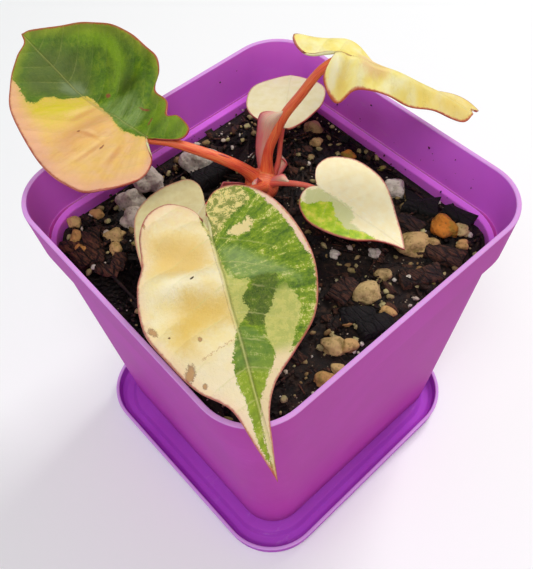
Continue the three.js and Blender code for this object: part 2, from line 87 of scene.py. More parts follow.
CURL_WIDTH = 20  # distance from the midrib at which a half blade has its full curl
SLIM = 1.3  # a petiole thinner than this is a small leaf's

# Where strewn lumps may lie in the mix: a rounded square round the pot's axis, clear of the stem.
STREW_HALF = 45
STREW_REACH = 45.4
STREW_CORE = 33
STREW_CORNER = 11.8
STREW_CLEAR = 5

# Counts and small measures of the meshes.
CORNER_STEPS = 14
PATH_STEPS = 400
BLADE_GRID = (110, 48)
STALK_GRID = (70, 16)
SHEATH_GRID = (40, 16)
CHIP_VERTS = 26
UV_MM = 100

# Each leaf has its own axes: x runs along the midrib to the tip and y to the left. LEAF and HALF hold what
# a leaf and a half blade have unless its own entry says otherwise.
LEAF = {"droop": 0, "power": 2, "bow": 0, "cups": ()}
HALF = {"slope": 0.05, "tip": 0.05, "fold": 0, "curl": 0, "pleats": 2, "depth": 0.3, "quilt": (), "frill": ()}
LEAVES = {
    "leaf_front": {
        "attach": (8.2, -23.5, 115), "heading": -26.5, "pitch": -3, "length": 54.6, "droop": -13, "power": 3,
        "bow": 0.4,
        "cups": [((-2.5, -9), 1.3, (3.2, 9)), ((5, -9), -1.5, (4, 8)), ((11.5, -11), 1.5, (3.2, 8)),
            ((19, -6), -2.2, (4.6, 7)), ((27, -11), 0.9, (4, 5)), ((8, 10), -1.0, (4.5, 7)), ((15, 9), 1.2, (3.2, 8)),
            ((23, 7), -1.2, (4.5, 6))],
        "left": {"slope": 0.1, "tip": 0.1, "pleats": 4, "quilt": [(5, 0.6, 0.45)], "outline": [(-4, 0.4), (-9, 0.6),
            (-13, 3.5), (-13.6, 8), (-11, 12.5), (-5, 16.8), (3, 19.6), (11, 20.6), (19, 19.5), (26, 16.6),
            (32, 10.5), (37, 4.8), (42, 2), (48, 0.9)]},
        "right": {"slope": 0.1, "tip": 0.1, "pleats": 5, "depth": 0.8, "quilt": [(7, 0, 0.25)], "outline": [(-4, 0.8),
            (-8, 1.8), (-11, 4.5), (-12.3, 8.5), (-9.5, 13), (-4, 15.8), (4, 17), (10, 18.6), (16, 19.7), (22, 19),
            (29, 15.7), (35, 11.4), (40, 5.8), (47, 2.9)]},
        "petiole": [(-13, 9.2, 90.5), (-9.2, 5, 96.5), (-4.5, -3.5, 104.5), (1, -13, 111), (5.5, -19.5, 114)],
        "thick": (1.6, 1.1), "sheath": {"side": (-0.3, 0.4, 0.9), "width": 3, "reach": 0.3},
    },
    "leaf_left": {
        "attach": (-33.5, -12.6, 111), "heading": -172.5, "pitch": 0, "length": 47.6, "droop": 11, "bow": -1.6,
        "cups": [((26, -5), -4, (12, 10)), ((13, -9), 1.2, (3.5, 5)), ((18, -12), -0.9, (3, 5)),
            ((12, 8), 0.8, (3, 8)), ((20, 8), -0.8, (4, 8))],
        "left": {"pleats": 5, "depth": 0.5, "quilt": [(6, 0.8, 0.45)], "frill": [(11, 0, 0.2)], "outline": [(-4, 3),
            (-8, 5.5), (-10, 10), (-9.8, 14.5), (-6.2, 20.7), (-1, 24.5), (7.3, 25.8), (14, 24.7), (20.7, 22.9),
            (28.4, 20.2), (33.3, 17.5), (38.5, 12), (43.1, 5.9), (45.3, 1.4)]},
        "right": {"slope": 0.25, "tip": 0.25, "curl": 5, "pleats": 5, "quilt": [(4, 2.2, 0.5)],
            "frill": [(9, 0, 0.15)], "outline": [(-4, 1.5), (-9, 4.7), (-8.8, 7.9), (-4, 9), (-1, 7.6), (2.2, 10.9),
            (7.4, 11.6), (9.3, 15.8), (13.6, 18.4), (22.6, 19), (30.2, 17.6), (36.4, 14.4), (42.7, 8), (46.8, 2.8)]},
        "petiole": [(-15, 9.6, 91.5), (-16, 6, 98), (-18.6, 1.3, 103.3), (-22.8, -3.4, 107), (-28.8, -8.4, 109.5)],
        "thick": (1.8, 1.1), "sheath": {"side": (0.1, -0.2, 1), "width": 1.6, "reach": 0.62},
    },
    "leaf_yellow": {
        "attach": (-1.6, 26.1, 134), "heading": 44, "pitch": -17, "length": 39, "droop": -7.5,
        "cups": [((-9, 6.5), 0.5, (4, 3)), ((-6.5, 1), -3.2, (4.6, 2.4)), ((5, 7), 2.7, (8, 3.4)),
            ((0.6, -3.2), 1.3, (1.4, 3)), ((3, -4.5), -1.3, (1.6, 3.4)), ((6, -4), 0.9, (2, 3)),
            ((10.5, -2.2), -1.2, (3.4, 2.4)), ((16, -3), 0.8, (3.6, 2.4)), ((23, -2), -0.8, (4, 2.2))],
        "left": {"slope": -0.55, "tip": -0.1, "fold": -1.2, "pleats": 3, "outline": [(-2, 1.5), (-6, 1), (-10, 2),
            (-10.5, 5.5), (-6, 8.5), (1, 9.5), (8, 9.2), (15, 8), (22, 6.6), (29, 5.4), (36, 5), (41.5, 3.6),
            (38.5, 1.6)]},
        "right": {"slope": -1.3, "tip": -1, "pleats": 3, "depth": 0.5, "outline": [(-1.5, 2), (-2, 4.5), (0.4, 6.8),
            (3.5, 7), (6, 5.4), (10, 4.4), (15, 4.6), (21, 4.4), (27, 3.7), (33, 3.2), (37, 2.4)]},
        "petiole": [(-14.3, 12, 91), (-14.6, 13.2, 100), (-13.4, 15.2, 107), (-11.3, 17.2, 114), (-8, 19.8, 121),
            (-4.2, 23, 129)],
        "thick": (1.6, 1.1), "sheath": {"side": (-0.92, -0.4, 0.1), "width": 5.8, "reach": 0.6},
    },
    "leaf_back": {
        "attach": (-14.8, 19.4, 106), "heading": 133, "pitch": 0, "length": 30, "droop": -7,
        "left": {"outline": [(-0.8, 2), (1, 4.6), (2.6, 7.6), (5.5, 9.9), (10, 11.2), (17, 10.6), (23, 7.5),
            (28, 3)]},
        "right": {"outline": [(-0.8, 1.8), (0.8, 4.4), (3.5, 6.8), (10, 10.2), (17, 11), (23, 8.5), (28, 3.5)]},
        "petiole": [(-13.6, 12.5, 89), (-13.6, 16, 95), (-14.4, 18, 101)],
        "thick": (0.9, 0.6), "sheath": {"side": (0.7, 0.5, 0.2), "width": 2.6, "reach": 0.6},
    },
    "leaf_heart": {
        "attach": (3.5, 15.6, 99), "heading": 6.5, "pitch": -8, "length": 29,
        "left": {"outline": [(-2.5, 1.5), (-4.7, 4.8), (-4.5, 8.7), (-2.2, 11.7), (2, 14.1), (7.4, 14.3), (12.5, 13),
            (17.3, 9.9), (21.5, 6.6), (25.5, 3.4)]},
        "right": {"outline": [(-1.5, 1.5), (-2, 3.7), (-1.2, 6.6), (0.8, 9), (4.8, 10.8), (9.8, 10.4), (14, 9.2),
            (18.1, 6.9), (21.5, 3.4), (25, 1.3)]},
        "petiole": [(-12.5, 10.5, 90), (-9, 10.6, 94.5), (-4, 12.4, 97), (0.5, 14.4, 98)],
        "thick": (1.1, 0.65), "sheath": {"side": (-0.3, 0.5, 0.8), "width": 2.4, "reach": 0.62},
    },
    "leaf_low": {
        "attach": (-13, -11.1, 99), "heading": -71, "pitch": -10, "length": 29,
        "left": {"outline": [(-2, 2), (-4.5, 5), (-4, 9), (0, 12), (6, 13), (12, 12), (18, 9), (24, 4.5)]},
        "right": {"outline": [(-2.5, 1.5), (-5, 4.5), (-5.3, 8), (-3, 10.8), (0.5, 13.6), (5, 15.3), (10, 15.3),
            (14, 13.4), (19, 9.6), (24, 4.5)]},
        "petiole": [(-14.8, 9, 88.2), (-16, 3.5, 91.8), (-15.6, -3.5, 95.5), (-13.8, -8.5, 97.8)],
        "thick": (1, 0.65), "sheath": {"side": (-0.7, 0, 0.7), "width": 3, "reach": 0.7},
    },
}

# Patches of colour on the blades, outlined in each leaf's own x and y.
# Some are painted light and shade: sheen, grey, trough, hollow, and the left leaf's lit cup rim and shaded fold.
PATCHES = {
    "leaf_front": {
        "green": [(0.4, -0.3), (4.1, 0.4), (8.1, 0.8), (11.5, 1.3), (12.5, 2.6), (13.4, 5.5), (15.8, 4.6),
            (17.2, 2.7), (19.9, 3.8), (21.7, 1.9), (22.6, 0.7), (25.1, -0.9), (27.8, -1.6), (30.3, -2.8),
            (33.4, -3.1), (35.5, -3.1), (37.6, -2.6), (40.2, -2.3), (43.1, -2.3), (45.5, -2), (48.4, -1.8),
            (50.8, -0.9), (53.3, -0.1), (49.2, -0.3), (45.9, -0.5), (43.1, -0.2), (39.5, 0.9), (37.3, 2.2), (34, 4.8),
            (32.5, 6.1), (30.9, 6.3), (27.7, 5.8), (24.8, 5.9), (22.8, 6.1), (21.4, 8.1), (17.3, 10.7), (16.5, 12.7),
            (19.7, 14), (22.9, 14.5), (25.5, 13.4), (27.9, 11.8), (31.9, 9.5), (30.3, 12.2), (27.8, 15.2), (23, 18.6),
            (17.3, 20.1), (12, 20.1), (7.4, 18.8), (2.4, 17.4), (-2, 15.6), (-5.4, 14.6), (-6.7, 14.6), (-10.3, 12.4),
            (-14, 9), (-15.4, 5.6), (-13.5, 2), (-11.2, -0.4), (-6.8, -1.3), (-3.4, -1.4), (-1, -0.9)],
        "lobe": [(-1.1, -1.4), (-5.2, -1.4), (-10.3, -0.2), (-13.9, 3.1), (-14.1, 7.2), (-11, 10.7), (-7.7, 11.1),
            (-6.3, 8.9), (-4.9, 6.1), (-2.5, 3.6), (-0.3, 1.5), (0.1, -0.2)],
        "fleck": [(0.3, 3.5), (-1.4, 4.9), (-2.1, 8.3), (-3.8, 9.6), (-1.5, 10.1), (0.8, 9), (1, 6.1)],
        "dark": [(13.6, 5.9), (13.3, 9), (14.9, 11.7), (18.9, 9.8), (21.6, 8.3), (24.2, 5.5), (23.3, 2.7),
            (21.3, 1.9), (19.9, 3.8), (17.2, 2.8), (16.1, 5.2)],
        "grey": [(23, 0.7), (24.7, 3.6), (27.7, 5.6), (32.6, 6), (34.6, 3.1), (33.1, 0.2), (32, -2.4), (27.7, -1.9)],
        "sheen": [(2.9, 1.2), (3.5, 4.6), (9, 10.2), (13, 13.7), (17.1, 15.9), (14.1, 11.1), (13.2, 5.6),
            (11.5, 1.7)],
        "trough": [(-2.8, -14.4), (-2.3, -8.2), (0.1, -1.7), (5.8, -1.3), (9.1, -4.9), (7.9, -10.2), (6.8, -15)],
        "hollow": [(13.4, -9.2), (13.9, -4.3), (15.8, 0.9), (21.2, 0.1), (21.9, -4.5), (23.5, -8.1), (27.7, -9.7),
            (29.2, -12.7), (25.5, -14.5), (19.8, -13.8)],
    },
    "leaf_left": {
        "green": [(37.5, 12.3), (36.2, 12.1), (33.6, 12.9), (31.4, 13.8), (29.5, 13.2), (29.1, 11.5), (29.8, 9.5),
            (28.5, 6.9), (26.8, 6), (26.3, 3.4), (25.4, -0.9), (22.8, -1.4), (18.9, -0.6), (14, 0.4), (9.2, 2),
            (5.7, 2.3), (2.6, 1.6), (-1, 0), (-4.8, -0.8), (-12, -3.1), (-13, -12), (8, -24), (40, -24), (54, -3.7),
            (54, 2.5), (45.2, 2.4), (42.5, 7.7)],
        "grey": [(42.6, 0.8), (40.1, -3.6), (37.5, -6.5), (31.2, -8.1), (26.7, -5.5), (24.7, -2.5), (25.9, 3),
            (30.2, 9.5), (32.8, 11.9), (36.5, 10.2), (40.9, 5.2)],
        "sheen": [(31.6, 1.2), (29.1, -2.3), (25.8, -2.1), (27, 2), (29.9, 3.5)],
        "streak": [(19.4, -1.1), (16.8, -5.7), (11.5, -7.6), (6, -5), (4.9, 0.1), (8.4, 1.3), (14, 0.4)],
        "bright": [(43.1, -7.1), (35.3, -14.7), (26.4, -16.8), (21.3, -14.4), (19.4, -8.5), (21.6, -5.8),
            (23.1, -11.1), (29.3, -13), (36.4, -10.5)],
        "olive": [(19.9, -11.8), (16.3, -12.1), (12.5, -11.3), (12.8, -8.1), (16.7, -6.4), (19.4, -8.5)],
        "yellow": [(38, 13.4), (30.8, 15.6), (25.6, 16.5), (21.6, 15), (19.5, 10), (20, 4), (21.5, 0.4), (25.1, -0.9),
            (26, 3.6), (28.3, 7.1), (29.6, 9.8), (29.4, 13.3), (31.2, 14)],
        "peach": [(20.7, 9.8), (20.1, 0.5), (12.9, 1.4), (10.8, 7.7), (10.5, 13.5), (10.2, 19.1), (14.8, 17.8)],
    },
    "leaf_yellow": {
        "peach": [(5, 1.5), (9, 3), (13.6, 0.2), (13, -1.2), (11, -1.7), (8.4, -2), (6.4, -1.3)],
    },
    "leaf_heart": {
        "green": [(-0.2, -7.6), (0.8, -6.6), (1.4, -6.9), (2.3, -5.9), (3.3, -3.7), (5.7, -1.6), (7.4, -2.7),
            (9.3, -4.7), (11.9, -5.1), (13.9, -6.2), (16.7, -4.1), (19.3, -3), (22, -2.8), (19.9, -7), (15.9, -10),
            (11.6, -12), (7, -12), (2.4, -11.5), (-3, -8.5), (-2.6, -6.4), (-1.4, -6.1)],
        "flush": [(-0.2, -5.7), (-1.7, -3.2), (0.3, -0.7), (3.1, 0.1), (7.5, 0.5), (10.8, 0.7), (13.3, -1.4),
            (13.5, -3.5), (17.4, -3.4), (20.7, -2.7), (19.3, -5.8), (11, -8), (2, -9)],
    },
}

# Scars of the front leaf, and creases and specks of the left leaf: middle, half sizes and turn.
SCARS = [((20.8, -17.6), (1.5, 0.7), 0.5), ((31.5, -12.1), (1.9, 1.0), -0.5), ((24.8, -8.4), (0.6, 0.5), 0),
         ((34.3, -9.7), (0.6, 0.5), 0), ((-6.1, -14.4), (0.7, 0.3), 0)]
# The creases are painted: a shaded strip, with a painted highlight on its lit side.
CREASES = [((6.8, 13.3), (5.2, 0.6), 1.6), ((19.5, 5), (4, 0.8), 1.55), ((1, 10.3), (3.6, 0.8), 1.86),
           ((11.2, 10.2), (3, 0.6), 0.41)]
SPECKS = [((20.2, -4.8), (0.8, 0.7), 0), ((14, 10.9), (0.6, 0.4), 0.3), ((5.9, 10.3), (0.3, 1.0), 0.2),
          ((6.4, -6.2), (1.4, 0.3), 0.4), ((2.2, -4), (0.3, 1.3), 0.3)]

# Two shades of each plain leaf.
PLAIN = {
    "leaf_back": ((226, 212, 166), (232, 220, 184)),
    "leaf_low": ((206, 192, 138), (214, 204, 152)),
}


def maths(operation):
    """A method that adds one maths node to the wires and numbers it is given."""
    def method(wire, *others):
        return wire.finish.node("ShaderNodeMath", {"operation": operation}, dict(enumerate((wire, *others))))
    return method


class Wire:
    """One socket of a finish, whose arithmetic adds its maths nodes."""

    __add__ = __radd__ = maths("ADD")
    __mul__ = __rmul__ = maths("MULTIPLY")
    __sub__ = maths("SUBTRACT")
    __truediv__ = maths("DIVIDE")
    __pow__ = maths("POWER")
    __abs__ = maths("ABSOLUTE")
    sine = maths("SINE")

    def __init__(self, finish, socket):
        self.finish = finish
        self.socket = socket

    def __rsub__(self, other):
        return (self * -1) + other

    def above(self, level, soft):
        """0 below level and 1 above it, over a soft step."""
        inputs = {"Value": self, "From Min": level - soft, "From Max": level + soft}
        return self.finish.node("ShaderNodeMapRange", {"interpolation_type": "SMOOTHSTEP"}, inputs)

    def below(self, level, soft):
        return 1 - self.above(level, soft)


def tint(colour):
    """A colour as seen on a screen, 0 to 255, as the shader's linear colour; a wire stays as it is."""
    if isinstance(colour, Wire):
        return colour
    shares = [value / 255 for value in colour]
    return (*(share / 12.92 if share <= 0.04045 else ((share + 0.055) / 1.055) ** 2.4 for share in shares), 1)


class Finish:
    """A procedural material: one Principled shader with what varies over the piece wired in."""

    def __init__(self, name, uv=None, **constants):
        self.material = bpy.data.materials.new(name)
        self.material.use_nodes = True
        self.tree = self.material.node_tree
        self.shader = self.tree.nodes["Principled BSDF"]
        for key, value in constants.items():
            self.shader.inputs[key.replace("_", " ")].default_value = value
        self.place = self.uv(uv) if uv else self.node("ShaderNodeTexCoord", out="Object")

    def node(self, kind, settings=None, inputs=None, out=0):
        made = self.tree.nodes.new(kind)
        for key, value in (settings or {}).items():
            if key == "stops":
                self.stops(made.color_ramp, value)
            else:
                setattr(made, key, value)
        for key, value in (inputs or {}).items():
            if isinstance(value, Wire):
                self.tree.links.new(value.socket, made.inputs[key])
            else:
                made.inputs[key].default_value = value
        return Wire(self, made.outputs[out])

    @staticmethod
    def stops(ramp, values):
        while len(ramp.elements) < len(values):
            ramp.elements.new(1)
        for element, (at, colour) in zip(ramp.elements, values):
            element.position = at
            element.color = tint(colour)

    def uv(self, name):
        return self.node("ShaderNodeUVMap", {"uv_map": name})

    def part(self, vector, axis=0):
        return self.node("ShaderNodeSeparateXYZ", None, {0: vector}, axis)

    def stretch(self, place, *scale):
        return self.node("ShaderNodeMapping", None, {"Vector": place, "Scale": scale})

    def noise(self, scale, detail=3, rough=0.5, place=None, bend=0):
        inputs = {"Vector": place or self.place, "Scale": scale, "Detail": detail, "Roughness": rough,
                  "Distortion": bend}
        return self.node("ShaderNodeTexNoise", None, inputs)

    def streaks(self, detail, rough, place, *scale, bend=0):
        """Noise drawn out along the axes of small scale."""
        return self.noise(1, detail, rough, self.stretch(place, *scale), bend)

    def cells(self, scale, feature="F1", place=None):
        inputs = {"Vector": place or self.place, "Scale": scale}
        return self.node("ShaderNodeTexVoronoi", {"feature": feature}, inputs, "Distance")

    def ramp(self, factor, *stops):
        return self.node("ShaderNodeValToRGB", {"stops": stops}, {"Fac": factor})

    def attribute(self, name):
        return self.node("ShaderNodeAttribute", {"attribute_name": name}, None, "Fac")

    def coats(self, colour, *coats):
        """A colour with others laid over it in turn, each by its share."""
        for share, over in coats:
            inputs = {"Factor": share, 6: tint(colour), 7: tint(over)}
            colour = self.node("ShaderNodeMix", {"data_type": "RGBA", "clamp_factor": True}, inputs, 2)
        return colour

    def wired(self, colour, rough=None, height=None, distance=0.0):
        """The material, with its colour and, where given, its roughness and its relief wired in."""
        relief = {"Height": height, "Distance": distance, "Strength": 1.0}
        normal = self.node("ShaderNodeBump", None, relief) if height else None
        for socket, value in (("Base Color", colour), ("Roughness", rough), ("Normal", normal)):
            if value:
                self.tree.links.new(value.socket, self.shader.inputs[socket])
        return self.material


# Finishes

def plastic(name, base, light, top, gloss):
    """Satin moulded plastic: faint flow mottling, fine scuffs, and a painted highlight that makes the rim paler above
    height top.
    """
    finish = Finish(name, Specular_IOR_Level=gloss, Subsurface_Weight=0.1, Subsurface_Scale=0.003)
    cloud = finish.noise(28, 4, 0.6)
    grain = finish.noise(900, 3, 0.6)
    scuff = finish.streaks(4, 0.7, finish.place, 240, 90, 900).above(0.64, 0.08)
    scuff = scuff * finish.noise(30, 2).above(0.52, 0.1)
    # Painted highlight: the plastic turns paler above height top, where the rim's top catches the light.
    rim_highlight = finish.part(finish.place, 2).above(top - 0.0003, 0.0002)
    colour = finish.coats(base, (cloud.above(0.5, 0.25), light), (scuff * 0.14, (225, 185, 235)),
                          (rim_highlight * (0.55 + cloud * 0.3), (226, 178, 238)))
    return finish.wired(colour, 0.42 + cloud * 0.12 + scuff * 0.15, grain * 0.5 + cloud + scuff * -0.4, 0.00006)


def mineral(name, pale, dark, warm):
    """A porous stone of the mix, tinted lump by lump and mossy in places."""
    finish = Finish(name, Specular_IOR_Level=0.25)
    lump = finish.attribute("lump")
    pores = finish.cells(900)
    cloud = finish.noise(260, 5, 0.65)
    moss = finish.noise(130).above(0.6, 0.06) * lump
    colour = finish.coats(pale, (lump, warm), (cloud.above(0.56, 0.12) * 0.7, dark),
                          (pores.below(0.22, 0.08) * 0.5, dark), (moss * 0.6, (128, 128, 44)))
    return finish.wired(colour, cloud * 0.2 + 0.8, pores * 0.6 + cloud, 0.0005)


def woody(name, dark, light):
    """Damp bark, charcoal or fibre: streaked along its grain, and cracked."""
    finish = Finish(name, Specular_IOR_Level=0.35)
    grain = finish.streaks(4, 0.7, finish.place, 420, 1500, 900, bend=0.5)
    cloud = finish.noise(330, 4, 0.6)
    shade = (finish.attribute("lump") * 0.75 + 0.25) * grain.above(0.5, 0.16) * (0.5 + cloud)
    crack = finish.cells(260, "DISTANCE_TO_EDGE", finish.stretch(finish.place, 0.6, 1.5, 1)).below(0.05, 0.04)
    colour = finish.coats(dark, (shade, light), (crack * 0.7, (8, 6, 6)))
    return finish.wired(colour, 0.55 + cloud * 0.4, grain + cloud * 0.9 + crack * -0.7, 0.0011)


def crumb():
    """The fine dark part of the mix, with pale specks."""
    finish = Finish("mix_crumb_finish", Specular_IOR_Level=0.3)
    cloud = finish.noise(420, 6, 0.7)
    speck = finish.cells(800)
    colour = finish.ramp(cloud, (0.3, (16, 12, 11)), (0.52, (34, 24, 19)), (0.7, (72, 50, 37)))
    pale = speck.below(0.16, 0.05) * finish.noise(240, 2).above(0.56, 0.05)
    colour = finish.coats(colour, (pale, (176, 160, 132)))
    return finish.wired(colour, 0.6 + cloud * 0.35, cloud + speck * 0.5, 0.0009)


def flesh(name, base, tip, streak):
    """A stalk: colour running from its foot to the blade, streaked along its length."""
    finish = Finish(name, Specular_IOR_Level=0.5, Subsurface_Weight=0.2, Subsurface_Scale=0.002)
    run = finish.uv("run")
    lines = finish.streaks(3, 0.6, run, 9, 26, 1)
    colour = finish.coats(base, (finish.part(run), tip), (lines.above(0.54, 0.14) * 0.6, streak),
                          (lines.below(0.4, 0.06) * 0.4, (166, 44, 38)))
    return finish.wired(colour, 0.32 + lines * 0.2, lines + finish.noise(700, 2) * 0.4, 0.00015)


def skin(name, base, edge, light):
    """A thin sheath: finely lined, lighter beside its stalk and towards its top, its edges in a second tint."""
    finish = Finish(name, Specular_IOR_Level=0.5, Subsurface_Weight=0.3, Subsurface_Scale=0.002)
    run = finish.uv("run")
    along, across = finish.part(run), finish.part(run, 1)
    lines = finish.streaks(3, 0.6, run, 3, 26, 1)
    colour = finish.coats(base, ((lines + across * -0.5 + along * 0.4).above(0.48, 0.22), light),
                          (lines.above(0.56, 0.1) * 0.35, edge), (across.above(0.93, 0.05) * 0.8, edge),
                          (along.above(0.965, 0.02) * 0.6, edge))
    return finish.wired(colour, 0.34 + lines * 0.2, lines, 0.0002)


def rim(name):
    """The thin red edge of every blade."""
    finish = Finish(name, Specular_IOR_Level=0.4)
    tone = finish.noise(160)
    return finish.wired(finish.coats((170, 62, 56), (tone.above(0.5, 0.12), (214, 128, 112))), 0.4 + tone * 0.2)


class Blade(Finish):
    """A finish of a blade: coordinates in millimetres on the blade, and the marks that leaves share."""

    def __init__(self, name):
        super().__init__(name, "blade", Specular_IOR_Level=0.34, Subsurface_Weight=0.18, Subsurface_Scale=0.0015,
                         Subsurface_Radius=(1.0, 0.8, 0.3))
        run = self.uv("run")
        self.x = self.part(self.place) * UV_MM
        self.y = self.part(self.place, 1) * UV_MM
        self.s = self.part(run)
        self.edge = self.part(run, 1) * UV_MM
        self.ragged = self.noise(95, 6, 0.7)
        self.fine = self.noise(330, 4, 0.7)

    def torn(self, measure, coarse, fine=0):
        """A measure made uneven by coarse and fine noise, in its own unit."""
        measure = measure + (self.ragged - 0.5) * coarse
        return measure + (self.fine - 0.5) * fine if fine else measure

    def fan(self, along, across):
        """Streaks that leave the midrib and run out to the edge."""
        flat = self.node("ShaderNodeCombineXYZ", None, {0: self.s, 1: self.y / UV_MM})
        return self.streaks(5, 0.7, flat, along, across, 1)

    def patch(self, name, rag=1.6, soft=0.12):
        """1 inside a patch, whose edge is ragged by rag millimetres."""
        return self.torn(self.attribute(name), rag * 2, rag).above(0, soft)

    def mark(self, centre, size, turn=0.0, soft=0.25):
        """1 inside a small ellipse; centre and half sizes in millimetres."""
        cos, sin = math.cos(turn), math.sin(turn)
        across = self.x - centre[0]
        up = self.y - centre[1]
        first = (across * cos + up * sin) / size[0]
        second = (up * cos - across * sin) / size[1]
        return self.torn((first * first + second * second) ** 0.5, 1.8, 1.6).below(1, soft)

    def scar(self, colour, centre, size, turn):
        """A healed brown scar with a darker rim."""
        inner = (size[0] * 0.7, size[1] * 0.7)
        return self.coats(colour, (self.mark(centre, size, turn) * 0.75, (118, 74, 38)),
                          (self.mark(centre, inner, turn) * 0.8, (196, 152, 100)))

    def rows(self, spacing):
        """0 on each side vein and 1 midway between two: the veins leave the midrib and bend to the tip."""
        side = abs(self.y)
        row = self.torn(self.x - side * 0.3 - side * side * 0.016, 1.2)
        return abs((row * (math.pi / spacing)).sine())

    def veined(self, colour, margin, rib, spacing, relief=0.0003, vein=0.4, cut=0.0):
        """The material, with veins, midrib, grooves beside it and a coloured margin laid over the colour."""
        side = abs(self.y)
        middle = abs(self.y + (self.fine - 0.5) * 0.3).below(0.26, 0.2)
        between = self.rows(spacing)
        faint = self.noise(26, 2).above(0.45, 0.15) * side.below(11, 8)
        net = self.cells(60, "DISTANCE_TO_EDGE").below(0.03, 0.03)
        groove = abs(side - 0.5).below(0.14, 0.1) * self.fine.above(0.45, 0.1)
        edge = self.torn(self.edge, 0.9, 0.4).below(0.34, 0.3)
        colour = self.coats(colour, (between.below(0.08, 0.08) * faint * vein, rib), (net * 0.05, rib),
                            (groove * cut, (104, 96, 34)), (middle * (0.2 + vein * 0.75), rib), (edge * 0.85, margin))
        height = between * 0.7 + self.ragged * 0.9 + self.fine * 0.4 + self.noise(620, 2, 0.6) * 0.15
        return self.wired(colour, 0.38 + self.fine * 0.22, height + middle * -0.9, relief)


def front_top(name):
    """Cream on one half; the other green, marbled with cream; painted shade, highlight and sheen follow the relief.
    """
    blade = Blade(name)
    x, y, edge = blade.x, blade.y, blade.edge
    cream = blade.coats(
        (240, 220, 158),
        (blade.noise(30).above(0.5, 0.2), (242, 228, 184)),
        (x.below(-4, 5) * blade.ragged.above(0.5, 0.3) * 0.6, (236, 196, 158)),
        # Painted shade in the trough and the hollow of the cream half, and a painted highlight on the ridge between
        # them.
        (blade.patch("trough", 2, 3) * 0.85, (230, 194, 110)),
        (blade.patch("hollow", 2, 3.5) * 0.9, (222, 186, 88)),
        (blade.mark((10.8, -9), (1.5, 8), 0.35, 0.9) * 0.6, (248, 238, 204)),
        (x.above(29, 6) * 0.7, (242, 224, 190)),
        (edge.below(1.6, 1.4) * 0.4, (236, 190, 162)))
    for scar in SCARS:
        cream = blade.scar(cream, *scar)
    line = abs(blade.torn(x - 26 + (y + 1.7) * 0.44, 3)).below(0.16, 0.1)
    line = line * y.below(-1.4, 0.2) * y.above(-9, 0.3) * blade.fine.above(0.45, 0.1)
    cream = blade.coats(
        cream,
        (line * 0.6, (170, 120, 70)),
        (blade.mark((10.5, -6.8), (0.2, 0.6), 0.6), (70, 56, 20)),
        (blade.mark((23.2, -14.5), (0.25, 0.25)), (110, 70, 40)))

    drift = blade.fan(38, 9)
    tone = drift * 0.5 + blade.ragged * 0.3 + blade.noise(45, 4, 0.6) * 0.2
    mottle = (blade.noise(52, 6, 0.7) + (blade.fine - 0.5) * 0.4).above(0.5, 0.03)
    dark = blade.coats((48, 76, 0), (blade.fine.above(0.5, 0.12), (92, 112, 14)))
    deep = blade.coats((70, 96, 8), (blade.fine, (130, 146, 44)))
    green = blade.coats(
        blade.ramp(tone, (0.4, (62, 96, 0)), (0.48, (104, 136, 4)), (0.55, (140, 162, 18)), (0.65, (176, 186, 60))),
        (blade.torn(drift, 0.7, 0.7).above(0.63, 0.03) * 0.85, (222, 214, 136)),
        # Painted sheen: the sheen and grey patches are greyish reflections on the green.
        (blade.patch("sheen", 1.5, 1.6) * 0.5, (150, 172, 112)),
        (blade.patch("grey", 1.6, 0.5) * 0.6, (98, 130, 50)),
        (blade.patch("dark", 2.2, 0.2) * (0.7 + mottle * 0.3), dark),
        (blade.patch("lobe", 3, 0.15), blade.coats((226, 208, 130), (mottle * 0.85, deep))),
        (blade.patch("fleck", 1.8, 0.1), (228, 208, 144)),
        (x.above(33, 3) * 0.5, (156, 174, 40)))

    flank = y.above(6, 1.5)
    inward = blade.torn(edge, 2, 1).above(1.5, 0.15)
    colour = blade.coats(
        cream,
        (y.above(0, 0.3) * x.below(34, 1), blade.coats((200, 196, 106), (mottle * 0.4, (150, 168, 76)))),
        (y.above(0, 0.4) * x.above(31, 2), (236, 212, 166)),
        (flank * x.below(20, 4) * edge.below(3, 0.8), (236, 200, 176)),
        (blade.patch("green", 1.5, 0.1), green),
        (inward * y.above(9.5, 1) * x.above(-5, 1) * x.below(18, 2), green),
        (flank * x.below(27, 3) * blade.torn(edge, 6, 2).below(0.3, 0.2), (226, 212, 146)),
        (x.above(51.5, 1.2) * 0.85, (196, 92, 70)))
    return blade.veined(colour, (176, 74, 78), (214, 206, 134), 6.5, cut=0.35)


